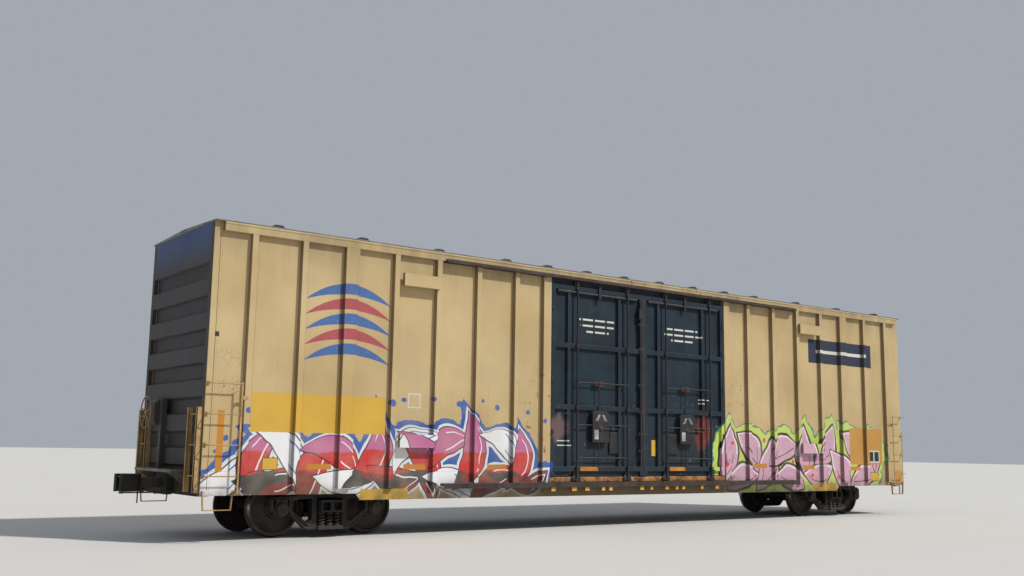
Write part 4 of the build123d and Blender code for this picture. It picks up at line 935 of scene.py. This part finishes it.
def helix(shape, middle, low, high, radius, wire, turns, sides=8, per_turn=18):
    """A coil spring standing on end, its last coils closed."""
    steps = int(turns * per_turn)
    low, high = low + wire, high - wire
    phase = rng.uniform(0, 6)
    path = []
    for i in range(steps + 1):
        at = i / steps * turns
        lift = min(max((at - 0.7) / (turns - 1.4), 0), 1)
        angle = 2 * math.pi * at + phase
        path.append((middle[0] + radius * math.cos(angle), middle[1] + radius * math.sin(angle),
                     low + (high - low) * lift))
    shape.tube(path, wire, sides)


SPRING_PITCH = 0.146
for mark, centre in TRUCKS.items():
    body = f"truck_{mark}"
    lo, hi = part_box(f"springs_{mark}")
    coils = Shape()
    for side in (-1, 1):
        for y in (hi.y - 0.066, hi.y - 0.226):
            for x in (centre - SPRING_PITCH, centre, centre + SPRING_PITCH):
                helix(coils, (x, side * y), lo.z, hi.z, 0.0535, 0.0120, 5.2)
                helix(coils, (x, side * y), lo.z, hi.z, 0.0315, 0.0072, 7.5, 6, 14)
    coils.make(f"coil_springs_{mark}", body, spring_steel, 0, [f"springs_{mark}"], "truck_fittings", 40)
    for name, radius in (("side_frames", 0.014), ("truck_bolster", 0.012), ("brake_beams", 0.004), ("bearings", 0.005)):
        round_edges(bpy.data.objects[f"{name}_{mark}"], radius, 3, weld=True)


# Bars of ladders, steps and levers, round where the CAD has flats
def pull_in(points, amount):
    """Rounds the corners of a path: each inner point becomes three."""
    out = [Vector(points[0])]
    for before, here, after in zip(points, points[1:], points[2:]):
        here = Vector(here)
        a = (Vector(before) - here).normalized() * amount
        b = (Vector(after) - here).normalized() * amount
        out += [here + a, here + (a + b) * 0.29, here + b]
    return out + [Vector(points[-1])]


def corner_at(end, side):
    """Carries places in the corner with x and y above zero, and a height above the rail, to another corner."""
    return lambda x, y, z: (end * x, side * y, above_rail(z))


CORNERS = [(-1, -1), (1, -1), (-1, 1), (1, 1)]
RUNGS = [1.015 + 0.483 * i for i in range(4)]
BAR_RADIUS = 0.0105
# Side ladder: its foot by the corner post, its stile, the middle of the bars, and the post that holds the top
LADDER_OUTER, LADDER_INNER, LADDER_Y, POST_X = 9.41, 8.89, 1.596, 8.77
STEP_TOP, STEP_BOTTOM = 0.79, 0.485
STRAP_IN, STRAP_OUT, TREAD_IN, TREAD_OUT, STRAP_HALF, STEP_DEPTH = 8.917, 9.413, 8.941, 9.389, 0.007, 0.040
STILE_X, STILE_FOOT, STILE_HEAD = HALF_LENGTH + 0.095, 0.76, 2.09
bars, end_bars, steps = Shape(), Shape(), Shape()
for end, side in CORNERS:
    at, out = corner_at(end, side), (0, side, 0)
    for z in RUNGS:
        bars.tube(pull_in([at(LADDER_OUTER, SHEET_FACE + 0.004, z), at(LADDER_OUTER, LADDER_Y, z),
                           at(LADDER_INNER, LADDER_Y, z)], 0.03), BAR_RADIUS, 10)
        bars.box(at(LADDER_OUTER - 0.024, SHEET_FACE, z - 0.036),
                 at(LADDER_OUTER + 0.024, SHEET_FACE + 0.008, z + 0.036))
        for rise in (-0.024, 0.024):
            bars.bolt(at(LADDER_OUTER, SHEET_FACE + 0.008, z + rise), out, 0.016, 0.008)
        bars.bolt(at(LADDER_INNER, LADDER_Y + 0.0062, z), out, 0.024, 0.009)
    bars.box(at(LADDER_INNER - 0.015, LADDER_Y - 0.006, 0.74),
             at(LADDER_INNER + 0.015, LADDER_Y + 0.006, RUNGS[-1] + 0.03))
    for z, wall, reach in ((0.76, SHEET_FACE, LADDER_INNER), (2.25, POST_FACE, POST_X)):
        bars.box(at(LADDER_INNER - 0.015, LADDER_Y, z - 0.02), at(LADDER_INNER + 0.015, wall, z + 0.02))
        bars.box(at(reach - end * 0.02, wall, z - 0.03), at(LADDER_INNER + end * 0.02, wall + 0.007, z + 0.03))
        bars.bolt(at(reach, wall + 0.007, z), out, 0.018, 0.009)
    # step: a flat strap bent to a loop, with a ribbed tread
    floor = STEP_BOTTOM + 2 * STRAP_HALF
    for top, foot in ((STRAP_IN, TREAD_IN), (STRAP_OUT, TREAD_OUT)):
        steps.prism([(top - STRAP_HALF, STEP_TOP), (top + STRAP_HALF, STEP_TOP), (foot + STRAP_HALF, floor),
                     (foot - STRAP_HALF, floor)], lambda a, b, d: at(a, SHEET_FACE + d, b), STEP_DEPTH)
        for z in (0.765, 0.735):
            steps.bolt(at(top + (foot - top) * 0.1, SHEET_FACE + STEP_DEPTH, z), out, 0.013, 0.006)
    steps.box(at(TREAD_IN - STRAP_HALF, SHEET_FACE, STEP_BOTTOM),
              at(TREAD_OUT + STRAP_HALF, SHEET_FACE + STEP_DEPTH, floor))
    for k in range(9):
        x = TREAD_IN + (TREAD_OUT - TREAD_IN) * (k + 0.5) / 9
        steps.box(at(x - 0.004, SHEET_FACE + 0.003, floor), at(x + 0.004, SHEET_FACE + 0.037, floor + 0.004))
    # end ladder: angle stiles and round rungs
    for y, way in ((0.985, 1), (1.42, -1)):
        for thick, wide in ((0.095, 0.012), (0.012, 0.045)):
            end_bars.box(at(STILE_X - thick, y, STILE_FOOT), at(STILE_X, y + way * wide, STILE_HEAD))
    for z in RUNGS[:3]:
        end_bars.tube([at(HALF_LENGTH + 0.061, 0.99, z), at(HALF_LENGTH + 0.061, 1.415, z)], BAR_RADIUS, 10)
        for y in (1.0, 1.405):
            end_bars.bolt(at(STILE_X, y, z), (end, 0, 0), 0.018, 0.001)
bars.make("side_ladder_bars", "car_body", bar_paint, 0.0015, ["side_ladders"], "body_paint")
steps.make("sill_step_straps", "car_body", bar_paint, 0.002, ["sill_steps"], "body_paint")
end_bars.make("end_ladder_bars", "car_body", bar_paint, 0.002, ["end_ladders"], "body_paint")

# Door gear. Its places: u to the viewer's right of the doors' middle, depth out from the leaves, height above the rail
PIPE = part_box("door_lock_pipes")[1].y - 0.019 - DOOR_FACE
SHEET, POST = SHEET_FACE - DOOR_FACE, POST_FACE - DOOR_FACE
LEAF = abs(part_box("door_far_right")[0].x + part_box("door_far_right")[1].x) / 2
DOOR_HALF = 2.5
ROD_RADIUS, ROD_LEVEL, COLUMN, HUB = 0.0118, 2.0, -0.02, 1.93
BOX_LOW, BOX_HIGH, BOX_FACE, BOX_MIDDLE, CHAMFER = 1.66, 2.29, 0.054, 0.01, 0.05
pipes, gear, rods, marks, tabs, thresholds, guides, strokes = (Shape() for _ in range(8))


def build_door_gear(side):
    """Everything that stands on the two leaves of one side."""
    out = (0, side, 0)

    def at(u, depth, z):
        return (-side * u, side * (DOOR_FACE + depth), above_rail(z))

    def block(shape, u, half, low, high, inner, outer):
        shape.box(at(u - half, inner, low), at(u + half, outer, high))

    def bar(shape, start, stop, depth, radius=ROD_RADIUS, sides=12):
        shape.tube([at(u, depth, z) for u, z in (start, stop)], radius, sides)

    def slab(shape, outline, depth, thick):
        shape.prism(outline, lambda u, z, d: at(u, depth + d, z), thick)

    for hand in (-1, 1):
        leaf = hand * LEAF
        # lock pipes with guides at the beams, a roller bracket at the foot and a hanger at the head
        for u in (leaf - 0.600, leaf + 0.780):
            bar(pipes, (u, 0.878), (u, 4.898), PIPE, 0.0188, 16)
            pipes.turned([(0.0, 0.052), (0.004, 0.056), (0.018, 0.056), (0.022, 0.050), (0.024, 0.018)],
                         at(u - 0.075, 0.008, 0.945), "y", 20, side)
            for z in (2.316, 3.544, 4.714):
                block(pipes, u, 0.045, z, z + 0.060, 0, 0.010)
                block(pipes, u, 0.028, z + 0.006, z + 0.054, 0, PIPE + 0.012)
                for du in (-0.036, 0.036):
                    pipes.bolt(at(u + du, 0.010, z + 0.030), out, 0.014, 0.008)
            slab(pipes, [(u - 0.105, 0.88), (u + 0.105, 0.88), (u + 0.095, 0.94), (u + 0.043, 1.08), (u - 0.043, 1.08),
                         (u - 0.095, 0.94)], 0, 0.012)
            for du in (-0.085, 0.085):
                block(pipes, u + du, 0.006, 0.88, 0.965, 0, 0.022)
                pipes.bolt(at(u + du * 0.55, 0.012, 0.915), out, 0.02, 0.008)
            block(pipes, u, 0.03, 0.90, 0.935, 0, PIPE + 0.012)
            block(pipes, u, 0.055, 4.775, 4.90, 0, 0.014)
            block(pipes, u, 0.026, 4.80, 4.885, 0, PIPE + 0.010)
        # operating rods between the pipes, and the column from box to box
        for z in (1.350, 2.845):
            bar(rods, (leaf - 0.58, z), (leaf + 0.76, z), PIPE)
            for du in (-0.565, COLUMN, 0.745):
                block(rods, leaf + du, 0.016, z - 0.018, z + 0.018, PIPE - 0.018, PIPE + 0.016)
        for start, stop in ((-0.58, -0.205), (0.225, 0.76)):
            bar(rods, (leaf + start, ROD_LEVEL), (leaf + stop, ROD_LEVEL), PIPE)
        for low, high in ((BOX_HIGH, 2.88), (1.177, BOX_LOW)):
            bar(rods, (leaf + COLUMN, low), (leaf + COLUMN, high), PIPE)
        # plate that guides the column, then the top rail and its hanger
        block(guides, leaf - 0.01, 0.12, 2.79, 2.885, 0, PIPE - 0.002)
        for du in (-0.10, 0.08):
            guides.bolt(at(leaf + du, PIPE - 0.002, 2.838), out, 0.024, 0.010)
        bar(gear, (leaf - 1.10, 4.66), (leaf + 1.08, 4.66), -0.014, 0.030, 14)
        block(gear, leaf, 0.03, 4.56, 4.86, -0.010, 0.030)
        gear.bolt(at(leaf, 0.030, 4.82), out, 0.030, 0.012)
        gear.bolt(at(leaf, 0.030, 4.60), out, 0.026, 0.010)
        # gear box: cover plate, bolts, hub and a bent handle
        left, right, middle = leaf - 0.21, leaf + 0.23, leaf + BOX_MIDDLE
        slab(gear, [(left, BOX_LOW), (right, BOX_LOW), (right, BOX_HIGH - CHAMFER), (right - CHAMFER, BOX_HIGH),
                    (left + CHAMFER, BOX_HIGH), (left, BOX_HIGH - CHAMFER)], -0.05, 0.104)
        for u in (left + 0.03, middle, right - 0.03):
            for z in (BOX_LOW + 0.03, (BOX_LOW + BOX_HIGH) / 2, BOX_HIGH - 0.06):
                gear.bolt(at(u, BOX_FACE, z), out, 0.020, 0.008)
        gear.turned([(0.0, 0.055), (0.004, 0.055), (0.008, 0.046), (0.016, 0.042), (0.020, 0.030), (0.022, 0.008)],
                    at(middle, BOX_FACE, HUB), "y", 24, side)
        arm = [(BOX_MIDDLE, 0.077), (0.12, 0.0795), (0.20, 0.078), (0.425, 0.078)]
        gear.tube(pull_in([at(leaf + du, depth, HUB) for du, depth in arm], 0.02), 0.0095, 10)
        bar(gear, (leaf + 0.29, HUB), (leaf + 0.43, HUB), 0.079, 0.0105, 10)
        block(gear, leaf + 0.32, 0.02, HUB - 0.05, HUB + 0.05, 0, 0.055)
        # pairs of slanting strokes and a blank label on the near boxes
        if side < 0:
            for slant in (-1, 1):
                for step in (0.0, 0.045):
                    foot, top = middle + slant * (0.150 - step), middle + slant * (0.060 - step * 0.6)
                    slab(strokes, [(foot, 2.085), (foot + 0.022, 2.085), (top + 0.022, 2.215), (top, 2.215)],
                         0.052, 0.0035)
            block(strokes, leaf - 0.11, 0.055, 1.72, 1.91, 0.052, 0.0555)
        # placard board beside the box, reflector on the bottom beam
        board = leaf + (0.46 if hand < 0 else -0.37)
        block(gear, board, 0.15, 1.44, 1.87, -0.050, -0.022)
        block(gear, board, 0.135, 1.455, 1.855, -0.022, -0.016)
        block(marks, leaf - 0.255, 0.235, 1.092, 1.17, 0, 0.003)
    # latch lugs at the outer edges of the leaves
    for u in (-2.475, 2.475):
        for z in (1.85, 2.87, 3.68, 4.30):
            block(gear, u, 0.030, z - 0.045, z + 0.045, -0.004, 0.016)
            gear.bolt(at(u, 0.016, z), out, 0.026, 0.010)
    # meeting edge: a seal strip, and a latch with its rod and keepers
    latch = -0.095
    block(gear, 0, 0.035, 1.19, 4.69, -0.012, 0.006)
    bar(gear, (latch, 1.20), (latch, 4.62), 0.014, 0.0115, 10)
    block(gear, latch, 0.05, 4.26, 4.47, -0.006, 0.040)
    for z in (4.14, 3.62, 2.86, 2.30, 1.84, 1.50):
        block(gear, -0.05, 0.1, z - 0.030, z + 0.030, -0.004, 0.008)
        block(gear, latch, 0.023, z - 0.022, z + 0.022, 0.004, 0.032)
        gear.bolt(at(0.020, 0.008, z), out, 0.022, 0.009)
    # threshold above the lower track, and yellow tabs under it
    thresholds.prism([(0, 0.875), (0.040, 0.875), (0.052, 0.885), (0.052, 0.955), (0.030, 0.975), (0, 0.975)],
                     lambda a, b, d: (d - DOOR_HALF, side * (SHEET_FACE + 0.010 + a), above_rail(b)), 2 * DOOR_HALF)
    for k in range(24):
        u = -2.45 + 4.9 * k / 23 + rng.uniform(-0.02, 0.02)
        block(thresholds, u, 0.03, 0.89, 0.935, SHEET + 0.060, SHEET + 0.068)
    for u in (-2.45, -1.92, -1.58, -1.15, -0.95, -0.08, 0.20, 0.65, 0.95, 1.15, 1.72, 2.20):
        half = rng.uniform(0.035, 0.06)
        block(tabs, u, half, 0.705, 0.783, POST + 0.012, POST + 0.024)
        block(tabs, u, half, 0.775, 0.783, POST + 0.012, POST + 0.048)


for side in (-1, 1):
    build_door_gear(side)
gear.make("door_gear", "car_body", gear_paint, 0.003, ["door_gear_boxes"], "door_paint")
pipes.make("lock_pipes", "car_body", gear_paint, 0.0015, ["door_lock_pipes"], "door_paint")
guides.make("column_guides", "car_body", bracket_rust, 0.002, slot="door_paint")
marks.make("door_reflectors", "car_body", reflector_amber, 0.001, slot="door_paint")
strokes.make("gear_box_strokes", "car_body", scuffed_white, slot="door_paint")
rods.make("operating_rods", "car_body", gear_paint, 0.0012, ["door_operating_rods"], "door_paint")
thresholds.make("door_thresholds", "car_body", threshold_rust, 0.003, slot="track_steel")
tabs.make("track_tabs", "car_body", tab_yellow, 0.001, slot="track_steel")

# Roof seams turned down over the eaves, and the ends of the upper tracks and door stops
seam_ends, track_ends, stop_ends = Shape(), Shape(), Shape()
EAVE_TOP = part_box("corner_posts")[1].z - RAIL
TRACK_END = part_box("upper_door_tracks")[1].x
STOP_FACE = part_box("door_stops")[1].y
STOP_X = 5.180
for end, side in CORNERS:
    at = corner_at(end, side)
    for x in (0.52, 1.56, 2.60, 3.63, 5.18, 6.78, 8.38):
        seam_ends.prism([(x - 0.115, 0.0), (x + 0.115, 0.0), (x + 0.100, 0.026), (x + 0.060, 0.046), (x - 0.060, 0.046),
                         (x - 0.100, 0.026)], lambda a, b, d: at(a, POST_FACE - 0.006 - d, EAVE_TOP + 0.012 + b), 0.17)
    track_ends.box(at(TRACK_END - 0.06, POST_FACE - 0.002, 4.905), at(TRACK_END - 0.002, TRACK_FACE - 0.004, 4.957))
    for z in (4.370, 1.500):
        stop_ends.prism([(0.29, 0.035), (0.02, 0.02), (0.002, 0.06), (0.002, 0.16), (0.04, 0.195), (0.29, 0.15)],
                        lambda a, b, d: at(STOP_X + a, STOP_FACE - 0.018 + d, z + b), 0.0175)
        for dx, dz in ((0.08, 0.07), (0.08, 0.15), (0.22, 0.09)):
            stop_ends.bolt(at(STOP_X + dx, STOP_FACE - 0.012, z + dz), (0, side, 0), 0.026, 0.011)
seam_ends.make("roof_seam_ends", "car_body", seam_steel, 0.005, slot="roof_coating")
track_ends.make("track_end_caps", "car_body", track_steel, 0.004, slot="track_steel")
stop_ends.make("door_stop_brackets", "car_body", gear_paint, 0.004, slot="track_steel")

# Hand brake: round rim, spokes and hub
lo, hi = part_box("hand_brake_wheel")
WHEEL_X, WHEEL_Y, WHEEL_Z, RIM_RADIUS = lo.x + 0.011, (lo.y + hi.y) / 2, above_rail(2.03), 0.268


def on_wheel(turn, radius, forward=0.0):
    return (WHEEL_X + forward, WHEEL_Y + radius * math.cos(turn), WHEEL_Z + radius * math.sin(turn))


wheel = Shape()
wheel.tube([on_wheel(2 * math.pi * k / 48, RIM_RADIUS) for k in range(48)], 0.0108, 10, closed=True)
for k in range(5):
    turn = math.radians(90 + 72 * k)
    wheel.tube([on_wheel(turn, 0.03), on_wheel(turn, 0.15, 0.008), on_wheel(turn, 0.262)], 0.0095, 8)
wheel.turned([(0.0, 0.020), (0.002, 0.030), (0.012, 0.034), (0.040, 0.034), (0.044, 0.024),
              (hi.x - lo.x - 0.002, 0.022)], (lo.x, WHEEL_Y, WHEEL_Z), "x", 24)
wheel.make("brake_wheel", "car_body", wheel_paint, 0, ["hand_brake_wheel"], "galvanized_steel")

# Levers at the ends, and the brake pipe under the floor
levers, lines = Shape(), Shape()
LEVER_X, LEVER_REACH, LEVER_Z = HALF_LENGTH + 0.060, HALF_LENGTH + 0.700, 0.700
PIPE_Y, PIPE_Z, CROSS_X, CROSS_Z, PIPE_END = 0.3, above_rail(0.740), -8.600, above_rail(0.660), HALF_LENGTH + 0.110
lines.tube(pull_in([(PIPE_END + 0.01, PIPE_Y, PIPE_Z), (CROSS_X, PIPE_Y, PIPE_Z), (CROSS_X, PIPE_Y, CROSS_Z),
                    (CROSS_X, -PIPE_Y, CROSS_Z), (CROSS_X, -PIPE_Y, PIPE_Z),
                    (-PIPE_END - 0.01, -PIPE_Y, PIPE_Z)], 0.02), 0.0205, 12)
for end in (-1, 1):
    at = corner_at(end, -end)
    levers.tube(pull_in([at(LEVER_X, 1.318, LEVER_Z - 0.23), at(LEVER_X, 1.318, LEVER_Z), at(LEVER_X, 0.282, LEVER_Z),
                         at(LEVER_REACH, 0.282, LEVER_Z), at(LEVER_REACH, 0.082, LEVER_Z),
                         at(LEVER_REACH, 0.082, 0.736)], 0.03), 0.0115, 10)
    for y in (1.18, 0.42):
        levers.box(at(HALF_LENGTH + 0.001, y - 0.02, LEVER_Z - 0.03), at(LEVER_X + 0.012, y + 0.02, LEVER_Z + 0.03))
    y = end * PIPE_Y
    lines.turned([(0, 0.026), (0.004, 0.032), (0.030, 0.032), (0.034, 0.026), (0.060, 0.026), (0.064, 0.033),
                  (0.090, 0.033), (0.108, 0.028)], (end * PIPE_END, y, PIPE_Z), "x", 16, end)
    lines.box((end * (PIPE_END + 0.03), y - 0.010, PIPE_Z + 0.02), (end * (PIPE_END + 0.05), y + 0.010, PIPE_Z + 0.034))
    lines.box((CROSS_X - 0.033, y - 0.033, CROSS_Z - 0.030), (CROSS_X + 0.033, y + 0.033, PIPE_Z + 0.030))
    for x in (0.9, 2.618, 4.27, 5.40):
        lines.box((end * x - 0.015, PIPE_Y - 0.015, PIPE_Z), (end * x + 0.015, PIPE_Y + 0.015, above_rail(0.80)))
levers.make("end_levers", "car_body", under_black, 0.001, ["uncoupling_levers"], "underframe_black", 40)
lines.make("train_line", "car_body", under_black, 0.0015, ["train_pipe"], "underframe_black", 40)

# Small radii on the pieces that keep the CAD's form
for radius, names in (
        (0.001, "crossover_platforms"), (0.002, "lower_door_tracks"),
        (0.003, "roof upper_door_tracks door_stops centre_sill"),
        (0.004, "side_posts side_plates side_sill_pair body_bolsters cross_bearers"),
        (0.004, "door_near_left door_near_right door_far_left door_far_right"), (0.006, "corner_posts end_sills"),
        (0.008, "end_wall_a end_wall_b couplers knuckles control_valve"), (0.010, "hand_brake_housing"),
        (0.012, "brake_cylinder"), (0.02, "air_reservoir")):
    for name in names.split():
        round_edges(bpy.data.objects[name], radius, 2, weld=True)


# Floor, light and camera
def pale_surround(name, tone):
    material, net, shader = new_material(name)
    place = net.place()
    mottled = net.noise(place, 0.35, 4.0)
    darker = tuple(c * 0.94 for c in tone[:3]) + (1.0,)
    net.feed(shader.inputs["Base Color"], net.mix(mottled, tone, darker))
    shader.inputs["Roughness"].default_value = 0.9
    return material


# The floor reaches far behind the car, so that it meets the sky at the horizon
floor_mesh = bpy.data.meshes.new("studio_floor")
floor_mesh.from_pydata([(-160, -90, 0), (160, -90, 0), (160, 220, 0), (-160, 220, 0)], [], [(0, 1, 2, 3)])
studio_floor = bpy.data.objects.new("studio_floor", floor_mesh)
link(studio_floor)
floor_mesh.materials.append(pale_surround("studio_floor", (0.62, 0.61, 0.59, 1.0)))

sun_data = bpy.data.lights.new("key", "SUN")
sun_data.energy = 3.2
sun_data.angle = math.radians(2.5)
sun_data.color = (1.0, 0.965, 0.90)
sun = bpy.data.objects.new("key", sun_data)
sun.rotation_euler = Vector((0.75, -1.0, 1.3)).to_track_quat("Z", "Y").to_euler()
link(sun)

world = bpy.data.worlds.new("soft studio")
world.use_nodes = True
sky = world.node_tree.nodes["Background"]
sky.inputs["Color"].default_value = (0.80, 0.86, 0.95, 1.0)
sky.inputs["Strength"].default_value = 0.46
bpy.context.scene.world = world

# The photo's camera: its turn, tilt and roll, its place, and its focal length in pixels of a 1024 pixel wide picture
YAW, PITCH, ROLL = math.radians(36.879), math.radians(8.675), math.radians(0.888)
CAMERA_PLACE = (-15.507, -17.524, above_rail(1.532))
FOCAL_PIXELS, PICTURE_WIDTH, SENSOR = 1045.15, 1024, 36.0
ahead = Vector((math.sin(YAW) * math.cos(PITCH), math.cos(YAW) * math.cos(PITCH), math.sin(PITCH)))
right = Vector((math.cos(YAW), -math.sin(YAW), 0))
up = right.cross(ahead)
turned_right = right * math.cos(ROLL) + up * math.sin(ROLL)
turned_up = up * math.cos(ROLL) - right * math.sin(ROLL)
camera_data = bpy.data.cameras.new("photo view")
camera_data.sensor_width = SENSOR
camera_data.sensor_fit = "HORIZONTAL"
camera_data.lens = FOCAL_PIXELS * SENSOR / PICTURE_WIDTH
camera_data.clip_end = 500
camera = bpy.data.objects.new("photo view", camera_data)
axes = Matrix((turned_right, turned_up, -ahead)).transposed()
camera.matrix_world = Matrix.Translation(CAMERA_PLACE) @ axes.to_4x4()
link(camera)
bpy.context.scene.camera = camera
bpy.context.scene.view_settings.view_transform = "Standard"
